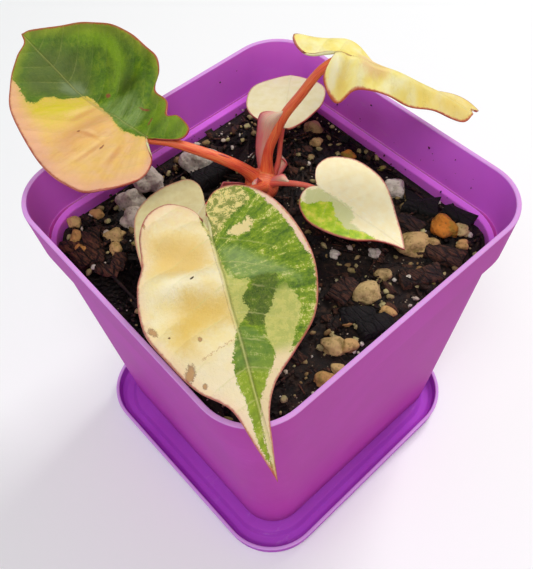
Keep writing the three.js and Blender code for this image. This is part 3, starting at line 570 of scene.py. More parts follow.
def left_top(name):
    """Green on the upper half and near the tip, peach and yellow below; the cup and the creases carry painted light
    and shade.
    """
    blade = Blade(name)
    x, y, edge = blade.x, blade.y, blade.edge
    fan = blade.fan(60, 14)
    tone = blade.ragged * 0.5 + blade.noise(34, 4, 0.6) * 0.5
    # Painted shade on the cup's folds: dark arcs at even steps round its middle.
    reach = blade.torn(((x - 28) ** 2 + (y + 5) ** 2) ** 0.5, 2)
    fold = (reach * 1.15).sine().above(0.3, 0.7) * reach.above(4, 3) * y.below(-1, 1.5)
    green = blade.coats(
        blade.ramp(tone, (0.36, (64, 98, 0)), (0.5, (88, 124, 0)), (0.62, (122, 148, 10))),
        # Painted light and shade of the cup: a highlight on its rim, shade in the fold beside it and in its greyish
        # middle, and a painted sheen.
        (blade.patch("bright", 1.5, 2.5) * 0.75, (132, 168, 4)),
        (edge.below(1.8, 1.5) * 0.5, (158, 166, 36)),
        (blade.patch("olive", 1.5, 2) * 0.85, (62, 80, 10)),
        (blade.patch("grey", 2, 3) * 0.8, blade.coats((60, 78, 18), (fan, (96, 112, 40)))),
        (blade.patch("sheen", 1.2, 1.6) * 0.55, (136, 152, 112)),
        (blade.patch("streak", 1.5, 1.6) * fan.above(0.42, 0.2) * 0.8, (136, 160, 92)),
        (y.below(-4, 2) * x.below(4, 3) * 0.6, (122, 152, 30)),
        (fold * 0.3, (54, 76, 0)))
    peach = blade.coats(
        (236, 190, 104),
        (blade.noise(26).above(0.5, 0.15), (236, 188, 130)),
        (blade.patch("peach", 2, 4) * 0.6, (226, 164, 104)),
        (fan.above(0.55, 0.12) * 0.3, (214, 150, 80)),
        (blade.patch("yellow", 4, 4.5) * (0.6 + fan * 0.7), (212, 196, 34)),
        ((blade.s * 30 + fan * 3).sine().above(0.2, 0.7) * 0.25, (246, 208, 124)),
        (edge.below(3.5, 3) * 0.65, (234, 172, 146)))
    # Painted shade along each crease, and a painted highlight beside it on its lit side.
    for centre, size, turn in CREASES:
        lit = (centre[0] + size[1] * 2 * math.sin(turn), centre[1] - size[1] * 2 * math.cos(turn))
        peach = blade.coats(peach, (blade.mark(centre, size, turn, 0.7) * 0.45, (204, 134, 72)),
                            (blade.mark(lit, size, turn, 0.7) * 0.3, (252, 214, 150)))
    colour = blade.coats(peach, (blade.patch("green", 1.4, 1.6) * 0.7, (178, 178, 30)),
                         (blade.patch("green", 1.4, 0.12), green))
    for speck in SPECKS:
        colour = blade.coats(colour, (blade.mark(*speck) * 0.8, (140, 62, 42)))
    return blade.veined(colour, (170, 60, 46), (176, 176, 96), 5.2, vein=0.2, cut=0.15)


def yellow_top(name):
    """Butter yellow, peach along the ridge and red at the lower margin, with painted shade and highlight at a fold
    near the base.
    """
    blade = Blade(name)
    low = blade.y.below(-1, 1) * blade.torn(blade.edge, 1).below(0.55, 0.3)
    colour = blade.coats(
        blade.ramp(blade.noise(20), (0.36, (250, 226, 112)), (0.5, (254, 236, 142)), (0.66, (255, 244, 180))),
        (blade.patch("peach", 1.2, 1.2) * 0.75, (244, 200, 138)),
        (blade.x.above(24, 8) * 0.45, (236, 196, 104)),
        # Painted shade in the dent near the base, and a painted highlight on the raised fold beside it.
        (blade.mark((3, -4.5), (1.2, 3.2), 0.2, 0.9) * 0.5, (232, 196, 84)),
        (blade.mark((0, -4.5), (0.9, 3), 0, 0.6) * 0.6, (250, 240, 206)),
        (low * 0.7, (206, 86, 66)),
        (blade.mark((-4.4, 1.2), (2.6, 0.3)) * 0.9, (120, 70, 30)),
        (blade.mark((1.5, 0.3), (2.4, 0.3)) * 0.8, (170, 96, 50)))
    return blade.veined(colour, (186, 62, 44), (246, 228, 150), 4.6, vein=0.2)


def heart_top(name):
    """Cream, with green along the lower lobe, a grey-green flush beside the midrib and a painted highlight along the
    midrib.
    """
    blade = Blade(name)
    tone = blade.noise(30) * 0.7 + blade.ragged * 0.3
    lower = blade.ramp(tone, (0.4, (136, 178, 14)), (0.52, (178, 206, 36)), (0.62, (222, 218, 84)))
    # Painted highlight: pale glossy streaks along the midrib.
    gloss = blade.streaks(4, 0.6, blade.place, 60, 220, 1).above(0.6, 0.06) * abs(blade.y - 1.5).below(2.4, 1)
    colour = blade.coats(
        (255, 244, 200),
        (blade.noise(40).above(0.5, 0.2), (252, 236, 184)),
        (blade.patch("flush", 1.4, 0.4) * 0.8, (200, 208, 140)),
        (blade.patch("green", 1.1, 0.1), lower),
        (gloss * 0.4, (250, 246, 226)))
    return blade.veined(colour, (190, 84, 92), (244, 230, 190), 4.2, 0.0001, 0.15)


def plain_top(name):
    """Pale cream all over."""
    blade = Blade(name)
    cool, warm = PLAIN[name.removesuffix("_top")]
    colour = blade.coats(cool, (blade.noise(40).above(0.5, 0.2), warm))
    return blade.veined(colour, (206, 140, 118), (232, 222, 184), 4.6, 0.00012, 0.15)


def under(name, base):
    """The matt, paler underside of a leaf."""
    blade = Blade(name)
    colour = blade.coats(base, (blade.noise(32).above(0.5, 0.25), (228, 222, 170)))
    return blade.veined(colour, (206, 118, 104), (232, 214, 150), 5.5)


# What each leaf wears: its upper finish, the colour of its underside, and its slot.
LOOKS = {
    "leaf_front": (front_top, (206, 206, 130), "leaf_green_cream"),
    "leaf_left": (left_top, (170, 184, 96), "leaf_green_peach"),
    "leaf_yellow": (yellow_top, (240, 226, 150), "leaf_yellow"),
    "leaf_back": (plain_top, (220, 206, 160), "leaf_cream"),
    "leaf_heart": (heart_top, (222, 220, 160), "leaf_cream_green"),
    "leaf_low": (plain_top, (204, 192, 140), "leaf_pale"),
}


# Shapes

def linked(name, data):
    """An object of the scene."""
    made = bpy.data.objects.new(name, data)
    bpy.context.scene.collection.objects.link(made)
    return made


def dressed(name, shape, finishes):
    """A finished bmesh as an object with its materials."""
    mesh = bpy.data.meshes.new(name)
    shape.to_mesh(mesh)
    shape.free()
    for finish in finishes:
        mesh.materials.append(finish)
    return linked(name, mesh)


def settle(name, shape, finishes, node):
    """A finished bmesh as a piece of the plant: named, dressed, riding, and standing for its node."""
    piece = dressed(name, shape, finishes)
    piece.data.polygons.foreach_set("use_smooth", [True] * len(piece.data.polygons))
    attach(piece, "root")
    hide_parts(node)
    return piece


def edges_of(verts):
    """The edges that meet any of the vertices, each once."""
    return list(dict.fromkeys(edge for vert in verts for edge in vert.link_edges))


def rounded_square(shape, half, corner, height):
    """One ring: a circle whose quarters are moved out to the corners of a square."""
    count = 4 * (CORNER_STEPS + 1)
    ring = bmesh.ops.create_circle(shape, segments=count, radius=max(corner, 0.01) * MM)["verts"]
    bmesh.ops.rotate(shape, verts=ring, cent=(0, 0, 0), matrix=Matrix.Rotation(math.pi / count, 3, "Z"))
    reach = (half - corner) * MM
    widen = (math.pi / 2) / (math.pi / 2 - 2 * math.pi / count)
    for vert in ring:
        turn = math.atan2(vert.co.y, vert.co.x)
        middle = (math.floor(turn / (math.pi / 2)) + 0.5) * math.pi / 2
        turn = middle + (turn - middle) * widen
        across = math.copysign(reach, math.cos(middle))
        up = math.copysign(reach, math.sin(middle))
        vert.co = (across + corner * MM * math.cos(turn), up + corner * MM * math.sin(turn), height * MM)
    return edges_of(ring)


def vessel(profile):
    """Rings of (half width, corner radius, height) bridged one after the other, closed at both ends."""
    shape = bmesh.new()
    rings = [rounded_square(shape, *section) for section in profile]
    for first, second in zip(rings, rings[1:]):
        bmesh.ops.bridge_loops(shape, edges=first + second)
    bmesh.ops.holes_fill(shape, edges=rings[0] + rings[-1], sides=0)
    bmesh.ops.recalc_face_normals(shape, faces=shape.faces)
    return shape


def soften(piece):
    """Rounds a vessel's edges and keeps its flat walls flat in the light."""
    bevel = piece.modifiers.new("edge", "BEVEL")
    bevel.width = EDGE_ROUND * MM
    bevel.segments = 3
    bevel.limit_method = "ANGLE"
    bevel.angle_limit = math.radians(28)
    piece.modifiers.new("light", "WEIGHTED_NORMAL").keep_sharp = True


def thicken(piece, width):
    """Gives a sheet its thickness, half of it to each side."""
    thick = piece.modifiers.new("thickness", "SOLIDIFY")
    thick.thickness = width * MM
    thick.offset = 0
    return thick


def saucer():
    inside = SAUCER_HALF - SAUCER_WALL
    shape = vessel([
        (SAUCER_HALF - 2, SAUCER_CORNER - 2, 0),
        (SAUCER_HALF - 0.6, SAUCER_CORNER - 0.6, 1),
        (SAUCER_HALF, SAUCER_CORNER, SAUCER_RIM),
        (inside, SAUCER_CORNER - SAUCER_WALL, SAUCER_RIM),
        (inside - 0.7, SAUCER_CORNER - 1.9, 2 * MOAT),
        (inside - 2, SAUCER_CORNER - 3, MOAT),
        (SEAT_HALF + 1.2, SEAT_CORNER + 0.6, MOAT),
        (SEAT_HALF, SEAT_CORNER, SEAT),
    ])
    turned = Matrix.Translation(SAUCER_SHIFT * MM) @ Matrix.Rotation(SAUCER_TURN, 4, "Z")
    bmesh.ops.transform(shape, matrix=turned, verts=shape.verts)
    finish = plastic("saucer_plastic", (172, 66, 192), (182, 78, 204), SAUCER_RIM * MM, 0.06)
    soften(settle("saucer_moulding", shape, [finish], "saucer"))


def wall_at(height):
    """The half width and corner radius of the pot's outer wall at a height below its band."""
    share = (height - FOOT) / (BAND_FOOT - FOOT)
    return FOOT_HALF + (SHOULDER_HALF - FOOT_HALF) * share, FOOT_CORNER + (SHOULDER_CORNER - FOOT_CORNER) * share


def drains(shape):
    """Cuts the holes through the pot's floor."""
    floors = [face for face in shape.faces if abs(face.normal.z) > 0.99 and len(face.verts) > 4]
    loops = [list(face.edges) for face in floors]
    levels = [face.verts[0].co.z for face in floors]
    bmesh.ops.delete(shape, geom=floors, context="FACES_ONLY")
    holes = []
    for x, y in DRAINS:
        pair = []
        for loop, level in zip(loops, levels):
            place = Matrix.Translation((x * MM, y * MM, level))
            made = bmesh.ops.create_circle(shape, segments=24, radius=DRAIN_RADIUS * MM, matrix=place)
            ring = edges_of(made["verts"])
            loop.extend(ring)
            pair += ring
        holes.append(pair)
    for loop in loops:
        bmesh.ops.triangle_fill(shape, use_beauty=True, edges=loop)
    for pair in holes:
        bmesh.ops.bridge_loops(shape, edges=pair)
    bmesh.ops.recalc_face_normals(shape, faces=shape.faces)


def pot():
    half, corner = wall_at(BAND_FOOT)
    low_half, low_corner = wall_at(POT_FLOOR)
    shape = vessel([
        (FOOT_HALF - 0.8, FOOT_CORNER - 0.8, FOOT),
        (FOOT_HALF, FOOT_CORNER, FOOT + 1.1),
        (half, corner, BAND_FOOT - 0.5),
        (BAND_HALF, BAND_CORNER, BAND_FOOT),
        (POT_HALF, RIM_CORNER, POT_TOP),
        (POT_HALF - WALL, RIM_CORNER - WALL, POT_TOP),
        (BAND_HALF - WALL, BAND_CORNER - WALL, BAND_FOOT - 0.4),
        (half - WALL, corner - WALL, BAND_FOOT - 1.6),
        (low_half - WALL, low_corner - WALL, POT_FLOOR),
    ])
    outside = plastic("pot_plastic", (178, 58, 164), (190, 68, 178), POT_TOP * MM, 0.05)
    # The inner walls wear a lighter copy of the pot's plastic: painted light, standing in for the light that reaches
    # inside the pot.
    inside = plastic("pot_lining_painted_lighter", (228, 108, 240), (236, 120, 248), POT_TOP * MM, 0.36)
    drains(shape)
    for face in shape.faces:
        middle = face.calc_center_median()
        outward = Vector((middle.x, middle.y, 0))
        if face.normal.dot(outward) < 0 and middle.z > POT_FLOOR * MM:
            face.material_index = 1
    soften(settle("pot_moulding", shape, [outside, inside], "pot"))


def catmull(points, share):
    """A point on a smooth path through points, share from 0 to 1 counted by point."""
    place = min(share, 0.999999) * (len(points) - 1)
    k = int(place)
    w = place - k
    a, b, c, d = [points[0] * 2 - points[1], *points, points[-1] * 2 - points[-2]][k:k + 4]
    return 0.5 * (2 * b + (c - a) * w + (2 * a - 5 * b + 4 * c - d) * w ** 2 + (3 * b - a - 3 * c + d) * w ** 3)


def even_path(points):
    """Points at even distances along the smooth path."""
    dense = [catmull(points, k / PATH_STEPS) for k in range(PATH_STEPS + 1)]
    lengths = [0.0]
    for first, second in zip(dense, dense[1:]):
        lengths.append(lengths[-1] + (second - first).length)
    even = []
    k = 0
    for step in range(PATH_STEPS + 1):
        goal = lengths[-1] * step / PATH_STEPS
        while k < PATH_STEPS - 1 and lengths[k + 1] < goal:
            k += 1
        span = lengths[k + 1] - lengths[k]
        even.append(dense[k].lerp(dense[k + 1], (goal - lengths[k]) / span if span else 0))
    return even


def on_path(path, share):
    place = min(max(share, 0), 1) * (len(path) - 1)
    k = min(int(place), len(path) - 2)
    return path[k].lerp(path[k + 1], place - k)


def ahead_on(path, share):
    return (on_path(path, share + 0.01) - on_path(path, share - 0.01)).normalized()


def mapped(grid, place, maps, fields=()):
    """A grid moved to place(u, v), with UV maps and fields of its own, and its doubles merged."""
    shape = bmesh.new()
    bmesh.ops.create_grid(shape, x_segments=grid[0], y_segments=grid[1], size=0.5)
    layers = {name: shape.loops.layers.uv.new(name) for name in maps}
    marks = {name: shape.verts.layers.float.new(name) for name, _ in fields}
    for vert in shape.verts:
        u, v = vert.co.x + 0.5, vert.co.y + 0.5
        for name, at in maps.items():
            value = at(u, v)
            for loop in vert.link_loops:
                loop[layers[name]].uv = value
        for name, at in fields:
            vert[marks[name]] = at(u, v)
        vert.co = place(u, v) * MM
    bmesh.ops.remove_doubles(shape, verts=shape.verts, dist=1e-6)
    bmesh.ops.dissolve_degenerate(shape, edges=shape.edges, dist=1e-7)
    return shape


def inside_by(outline, x, y):
    """How far a point lies inside an outline, in millimetres; below 0 outside it."""
    nearest = 1e9
    inside = False
    for (ax, ay), (bx, by) in zip(outline, outline[1:] + outline[:1]):
        run_x, run_y = bx - ax, by - ay
        share = ((x - ax) * run_x + (y - ay) * run_y) / (run_x * run_x + run_y * run_y)
        share = min(max(share, 0), 1)
        nearest = min(nearest, (x - ax - run_x * share) ** 2 + (y - ay - run_y * share) ** 2)
        if (ay > y) != (by > y) and x < ax + (y - ay) * run_x / run_y:
            inside = not inside
    return math.sqrt(nearest) if inside else -math.sqrt(nearest)


def waves(rows, s):
    """The sum of waves along the blade, each (count, start, depth)."""
    return sum(depth * math.sin(2 * math.pi * count * s + start) for count, start, depth in rows)


class Leaf:
    """The surface of one leaf, from the same values as its solid, with s along it and t from edge to edge."""

    def __init__(self, values):
        self.values = {**LEAF, **values}
        heading = math.radians(values["heading"])
        pitch = math.radians(values["pitch"])
        self.origin = Vector(values["attach"])
        self.along = Vector((math.cos(heading) * math.cos(pitch), math.sin(heading) * math.cos(pitch),
                             math.sin(pitch)))
        self.left = Vector((-math.sin(heading), math.cos(heading), 0))
        self.up = self.along.cross(self.left)
        self.halves = []
        self.outlines = []
        for side, sign in (("right", -1), ("left", 1)):
            half = {**HALF, **values[side]}
            points = [Vector((0, 0))] + [Vector((x, sign * y)) for x, y in half["outline"]]
            self.outlines.append(even_path(points + [Vector((values["length"], 0))]))
            self.halves.append(half)

    def flat(self, s, t):
        """The point of the blade as if pressed flat: (x, y), and its distance from the edge."""
        edge = on_path(self.outlines[t > 0], s)
        share = s ** MIDRIB_EASE
        rib = Vector((self.values["length"] * share, self.values["bow"] * math.sin(math.pi * share)))
        return rib.lerp(edge, abs(t)), (edge - rib).length * (1 - abs(t))

    def lift(self, x, y):
        """The rise of the blade over its own plane: droop, fold and curl."""
        half = self.halves[y > 0]
        share = max(x, 0) / self.values["length"]
        inner = min(share, 1)
        slope = half["slope"] + (half["tip"] - half["slope"]) * inner
        slope += half["fold"] * math.sin(math.pi * inner) ** 2
        return (self.values["droop"] * share ** self.values["power"]
                + slope * (math.sqrt(y * y + 1) - 1) + half["curl"] * (y / CURL_WIDTH) ** 2)

    def cup(self, x, y):
        """The broad hollows and swellings of the blade."""
        return sum(deep * math.exp(-((x - middle[0]) / reach[0]) ** 2 - ((y - middle[1]) / reach[1]) ** 2)
                   for middle, deep, reach in self.values["cups"])

    def on_blade(self, x, y, rise=0.0):
        return self.origin + self.along * x + self.left * y + self.up * (self.lift(x, y) + self.cup(x, y) + rise)

    def point(self, s, t):
        """A point of the blade, with its pleats, its quilting and its frilled edge."""
        half = self.halves[t > 0]
        (x, y), _ = self.flat(s, t)
        rise = waves([(half["pleats"], 0, half["depth"])], s) * abs(t)
        rise += waves(half["quilt"], s) * math.sin(math.pi * abs(t) ** 0.8) + waves(half["frill"], s) * abs(t) ** 5
        return self.on_blade(x, y, rise * math.sin(math.pi * s))


def blade_piece(name, leaf, finishes):
    """The blade: a grid from edge to edge with the midrib in its middle, thickened on both sides."""
    def flat(u, v):
        return leaf.flat(u, 2 * v - 1)

    maps = {"blade": lambda u, v: flat(u, v)[0] / UV_MM, "run": lambda u, v: (u, flat(u, v)[1] / UV_MM)}
    fields = [(patch, lambda u, v, outline=outline: inside_by(outline, *flat(u, v)[0]))
              for patch, outline in PATCHES.get(name, {}).items()]
    shape = mapped(BLADE_GRID, lambda u, v: leaf.point(u, 2 * v - 1), maps, fields)
    for face in shape.faces:
        face.normal_update()
    if sum(face.normal.dot(leaf.up) for face in shape.faces) < 0:
        bmesh.ops.reverse_faces(shape, faces=shape.faces)
    thick = thicken(settle(name + "_blade", shape, finishes, name), BLADE)
    thick.material_offset = 1
    thick.material_offset_rim = 2


def stalk_of(leaf):
    """The petiole's path, on under the blade as its midrib, and the share of it before the blade."""
    values = leaf.values
    thin = values["thick"][1]
    rib = [leaf.on_blade(share * values["length"], values["bow"] * math.sin(math.pi * share), -thin * (1.5 - share))
           for share in MIDRIB_STOPS]
    path = even_path([Vector(place) for place in values["petiole"]] + rib)
    near = min(range(len(path)), key=lambda k: (path[k] - rib[0]).length)
    return path, near / (len(path) - 1)


def petiole(name, leaf, path, turn, finish):
    """The petiole and midrib: a closed tapered tube, with its length and turn as its UV map."""
    thick, thin = leaf.values["thick"]

    def radius(u):
        if u < turn:
            foot = max(0, 1 - u / (0.24 * turn))
            return thick + (thin - thick) * u / turn + 0.75 * thick * foot * foot
        return thin + (MIDRIB_TIP - thin) * min(1, 1.6 * (u - turn) / (1 - turn)) ** 0.8

    def place(u, v):
        ahead = ahead_on(path, u)
        across = ahead.cross(Vector((0.3, 0.2, 1))).normalized()
        angle = 2 * math.pi * v
        return on_path(path, u) + (across * math.cos(angle) + ahead.cross(across) * math.sin(angle)) * radius(u)

    shape = mapped(STALK_GRID, place, {"run": lambda u, v: (u, v)})
    bmesh.ops.holes_fill(shape, edges=[edge for edge in shape.edges if edge.is_boundary], sides=0)
    bmesh.ops.recalc_face_normals(shape, faces=shape.faces)
    settle(name + "_petiole", shape, [finish], name)


def sheath(name, leaf, path, turn, finish):
    """The wing along the foot of a petiole: a trough open to one side, slanted at its top."""
    values = leaf.values["sheath"]

    def place(u, v):
        share = turn * values["reach"] * (0.04 + 0.96 * u) * (1 - 0.16 * u * v)
        ahead = ahead_on(path, share)
        side = Vector(values["side"])
        out = (side - ahead * side.dot(ahead)).normalized()
        spread = values["width"] * (0.35 + 0.65 * min(1, u / 0.75)) * (1 - max(0, (u - 0.8) / 0.2) ** 1.6)
        spread = max(spread, 0.3)
        curl = spread * (0.34 * math.sin(math.pi * v) + 0.06 * math.sin(9 * u + 2 * v))
        return on_path(path, share) + out * spread * v + ahead.cross(out) * curl

    shape = mapped(SHEATH_GRID, place, {"run": lambda u, v: (u, v)})
    thicken(settle(name + "_sheath", shape, [finish], name), SHEATH)


def stem_part(name, shape, finish, run, across):
    """Settles a part of the stem, coloured as a petiole is at the share run and streaked along across."""
    layer = shape.loops.layers.uv.new("run")
    for face in shape.faces:
        for loop in face.loops:
            loop[layer].uv = (run, loop.vert.co.dot(across))
    settle(name, shape, [finish], "stem")


def stem():
    """The short stem: a spun profile with the rings of old leaf feet, and the swollen crown on it."""
    shape = bmesh.new()
    verts = [shape.verts.new((radius * MM, 0, height * MM)) for radius, height in STEM_PROFILE]
    edges = [shape.edges.new(pair) for pair in zip(verts, verts[1:])]
    bmesh.ops.spin(shape, geom=verts + edges, cent=(0, 0, 0), axis=(0, 0, 1), angle=2 * math.pi, steps=32,
                   use_merge=True)
    bmesh.ops.remove_doubles(shape, verts=shape.verts, dist=1e-6)
    bmesh.ops.recalc_face_normals(shape, faces=shape.faces)
    bmesh.ops.translate(shape, verts=shape.verts, vec=STEM * MM)
    crown = bmesh.new()
    swollen = Matrix.Translation(CROWN * MM) @ Matrix.Diagonal((*CROWN_SIZE, 1))
    bmesh.ops.create_uvsphere(crown, u_segments=32, v_segments=20, radius=0.5 * MM, matrix=swollen)
    finish = flesh("stem_flesh", (224, 92, 62), (234, 112, 66), (244, 158, 96))
    stem_part("stem_body", shape, finish, 0.2, Vector((100, 100, 0)))
    stem_part("stem_crown", crown, finish, 0.3, Vector((60, -60, 0)))


# The potting mix

def soil_height(x, y):
    return (SOIL_LEVEL + 0.7 * math.sin(x / 5.3 + 1) * math.cos(y / 6.1)
            + 0.5 * math.sin(x / 2.9 - y / 3.7))


def soil_top(x, y):
    """The mix's surface with its crumbs."""
    place = Vector((x, y, 0))
    return (soil_height(x, y) + 0.9 * noise.noise(place / 2.6) + 0.45 * noise.noise(place / 1.1)
            + 0.2 * noise.noise(place / 0.5))


def potting_mix():
    """The filling: the pot's inner shape up to the mix's level, with an uneven crumbly top."""
    low, low_corner = (size - MIX_INSET for size in wall_at(POT_FLOOR))
    reach, corner = (size - MIX_INSET for size in wall_at(SOIL_LEVEL))
    halves = [reach - reach * step / MIX_RINGS for step in range(MIX_RINGS)]
    top = [(half, min(corner, half), SOIL_LEVEL) for half in halves]
    shape = vessel([(low, low_corner, POT_FLOOR + MIX_LIFT)] + top)
    for vert in shape.verts:
        if vert.co.z > (SOIL_LEVEL - 1) * MM:
            vert.co.z = soil_top(vert.co.x / MM, vert.co.y / MM) * MM
    settle("mix_filling", shape, [crumb()], "potting_mix")


def lumps(name, items, make, finish):
    """Many lumps in one piece. Each item is (place, lengths, turns, tone), in millimetres and radians."""
    shape = bmesh.new()
    layer = shape.verts.layers.float.new("lump")
    for number, (place, size, turn, tone) in enumerate(items):
        stand = Matrix.LocRotScale(Vector(place), Euler(turn), Vector(size))
        offset = Vector((number * 7.3, number * 3.1, 0))
        for vert in make(shape):
            swell = 1 + 0.45 * noise.noise(vert.co * 2.4 + offset)
            vert.co = (stand @ (vert.co * swell)) * MM
            vert[layer] = tone
    bmesh.ops.recalc_face_normals(shape, faces=shape.faces)
    settle(name, shape, [finish], "potting_mix")


def ball(detail):
    return lambda shape: bmesh.ops.create_icosphere(shape, subdivisions=detail, radius=0.5)["verts"]


def chip(shape):
    """A block with its faces split once, so that it can be bent and swollen."""
    verts = bmesh.ops.create_cube(shape, size=1)["verts"]
    bmesh.ops.subdivide_edges(shape, edges=edges_of(verts), cuts=1, use_grid_fill=True)
    shape.verts.ensure_lookup_table()
    return shape.verts[-CHIP_VERTS:]


def pebble(shape):
    """A chip with its points drawn in to a ball."""
    verts = chip(shape)
    for vert in verts:
        vert.co = vert.co.normalized() * 0.5
    return verts


# Lumps placed one by one: (x, y), lengths, turn about +Z, rise over the mix, and tone from 0 to 1.
PUMICE = [
    ((-35.5, 4.5), (13, 9, 8), 0.6, 1.5, 0.05), ((-40, -12), (9, 8, 8), 0.2, 1.5, 0.3),
    ((-39, -20), (9, 8, 7), 0.9, 1, 0.25), ((-32.5, -23.5), (8, 8, 7), 0, 1, 0.4),
    ((11.7, 38), (6.5, 5.5, 5.5), 0.35, 1.5, 0.15), ((-3, 33), (4, 3.6, 3), 0.4, 1.4, 0.7),
    ((2, -2), (3.2, 2.8, 2.6), 0, 1.4, 0.1), ((16.5, 9), (3, 2.6, 2.4), 0.6, 1.3, 0.15),
    ((24, 17), (3.4, 3, 2.6), 0.2, 1.3, 0.2), ((21, 26), (2.8, 2.5, 2.4), 1.2, 1.3, 0.1),
    ((36, 17.5), (3, 2.6, 2.4), 0.5, 1.5, 0.2), ((12, 22), (2.6, 2.3, 2), 0.9, 1.2, 0.2),
]
STONES = [
    ((29.5, 27), (11, 7, 6), 0.9, 1.2, 0.3), ((31.5, 36.5), (7.6, 6.6, 6), 0.25, 1.6, 1.0),
    ((35.1, 39.3), (4.2, 3.8, 3.6), 0, 1.6, 0.1), ((32.4, 30.5), (4.4, 3.6, 3.2), 0.7, 1.5, 0.35),
    ((38.5, 36), (3.4, 3, 2.8), 0.4, 1.5, 0.5), ((30.5, 13.5), (4.6, 3.8, 3.2), 0.6, 1.4, 0.2),
    ((31.8, 6), (7.6, 6.2, 5), 1.05, 1.2, 0.2), ((39.4, 5.5), (4.4, 3, 3), 0.3, 1.4, 0.45),
    ((37, -11.2), (6.4, 5, 4.4), 0.5, 1.4, 0.25), ((39.5, -8.6), (4.6, 3.8, 3.4), 1.2, 1.5, 0.4),
    ((42, -19.6), (5.4, 3.8, 3.6), 0.8, 1.4, 0.55), ((42.2, -15.2), (3.8, 3.2, 3), 0.2, 1.4, 0.3),
    ((-43, -36.6), (4.2, 3.4, 3.2), 0.4, 1.4, 0.35), ((-37.9, -39.5), (5.6, 3.4, 3), -0.6, 1.4, 0.6),
    ((-30.8, -30.7), (6, 4.4, 4), 0.9, 1.4, 0.3), ((-32.9, -40.6), (4, 3.2, 3), 0.3, 1.4, 0.75),
    ((-26.6, -33.5), (4.4, 3.4, 3.2), -0.4, 1.4, 0.4), ((-41, -30), (4, 3, 2.8), 0.5, 1.4, 0.5),
    ((-22.9, 38.8), (5.6, 4.4, 4), 0.2, 1.3, 0.2), ((-18, 35.5), (4, 3.4, 3), 0.8, 1.3, 0.3),
    ((-7.2, 38.7), (4.6, 3.4, 3.2), 0.4, 1.3, 0.95), ((34, -4), (3.6, 3.2, 2.8), 0.9, 1.3, 0.5),
]
BARK = [
    ((37.5, 20), (10.5, 5, 4), 1.05, 0.7, 0.45), ((37, 30), (9.5, 5, 4), 0.35, 1.0, 0.6),
    ((-31, -38), (11, 5, 4), -0.5, 0.5, 0.9), ((27, 2), (7.5, 5.4, 3.5), 1.75, 1.0, 0.55),
    ((-36, -42.3), (6, 4, 3), 0.5, 1.0, 1.0), ((-29.5, -42.6), (6.5, 3.6, 3), 0, 1.0, 0.9),
    ((-21.8, -39.5), (6.5, 3.2, 3), 0.6, 1.0, 0.95), ((-21.8, -35.5), (6, 3.6, 3), -0.8, 1.1, 0.8),
    ((24, 31), (8, 4.5, 4), 0.2, 1.0, 0.2), ((15, -2), (5.5, 4, 3), 1.1, 1.0, 0.6),
]
CHARCOAL = [
    ((-28.5, 3.7), (13, 5, 5), 1.47, 1.5, 0), ((31, 43), (8, 4, 4), 0.1, 1.2, 0.1),
    ((21, 39), (9, 6, 5), 0.5, 0.8, 0.2), ((35, -1), (8, 4.6, 3.6), 0.9, 0.8, 0.1),
    ((5, 30), (10, 5, 4), 0.2, 0.8, 0.1), ((40, 0), (8, 5, 4), 1.2, 0.6, 0.2),
]


def placed(entries):
    """The lumps that are listed one by one, in the form that lumps() takes."""
    return [((*at, soil_height(*at) + rise), size, (0, 0, turn), tone) for at, size, turn, rise, tone in entries]


def strewn(draw, count, low, high, rise, wide=(0.6, 0.95), flat=(0.5, 0.85)):
    """Lumps strewn over the mix by a seeded draw, kept off the stem and inside the pot's walls."""
    items = []
    while len(items) < count:
        x, y = draw.uniform(-STREW_HALF, STREW_HALF), draw.uniform(-STREW_HALF, STREW_HALF)
        length = low + (high - low) * draw.random() ** 2
        reach = STREW_REACH - length / 2
        corner = math.hypot(max(0, abs(x) - STREW_CORE), max(0, abs(y) - STREW_CORE)) + length / 2
        near = math.hypot(x - STEM.x, y - STEM.y) < STREW_CLEAR
        if near or max(abs(x), abs(y)) > reach or corner > STREW_CORNER:
            continue
        size = (length, length * draw.uniform(*wide), length * draw.uniform(*flat))
        turn = (draw.uniform(-0.5, 0.5), draw.uniform(-0.4, 0.4), draw.uniform(0, math.pi))
        items.append(((x, y, soil_height(x, y) + rise), size, turn, draw.random()))
    return items


def wall_crumbs(draw, count):
    """Crumbs of the mix that cling to the inside of the pot, above the mix."""
    items = []
    for _ in range(count):
        height = 87.5 + 14 * draw.random() ** 1.6
        half = wall_at(height)[0] if height < BAND_FOOT else BAND_HALF + 0.1
        reach = half - WALL - 0.25
        along = draw.uniform(-STREW_CORE, STREW_CORE)
        place = Matrix.Rotation(draw.randrange(4) * math.pi / 2, 3, "Z") @ Vector((reach, along, height))
        length = 0.25 + 0.6 * draw.random() ** 2
        size = (length, length * 0.6, length * 0.5)
        turn = [draw.uniform(0, 3) for _ in range(3)]
        items.append((place, size, turn, draw.random()))
    return items


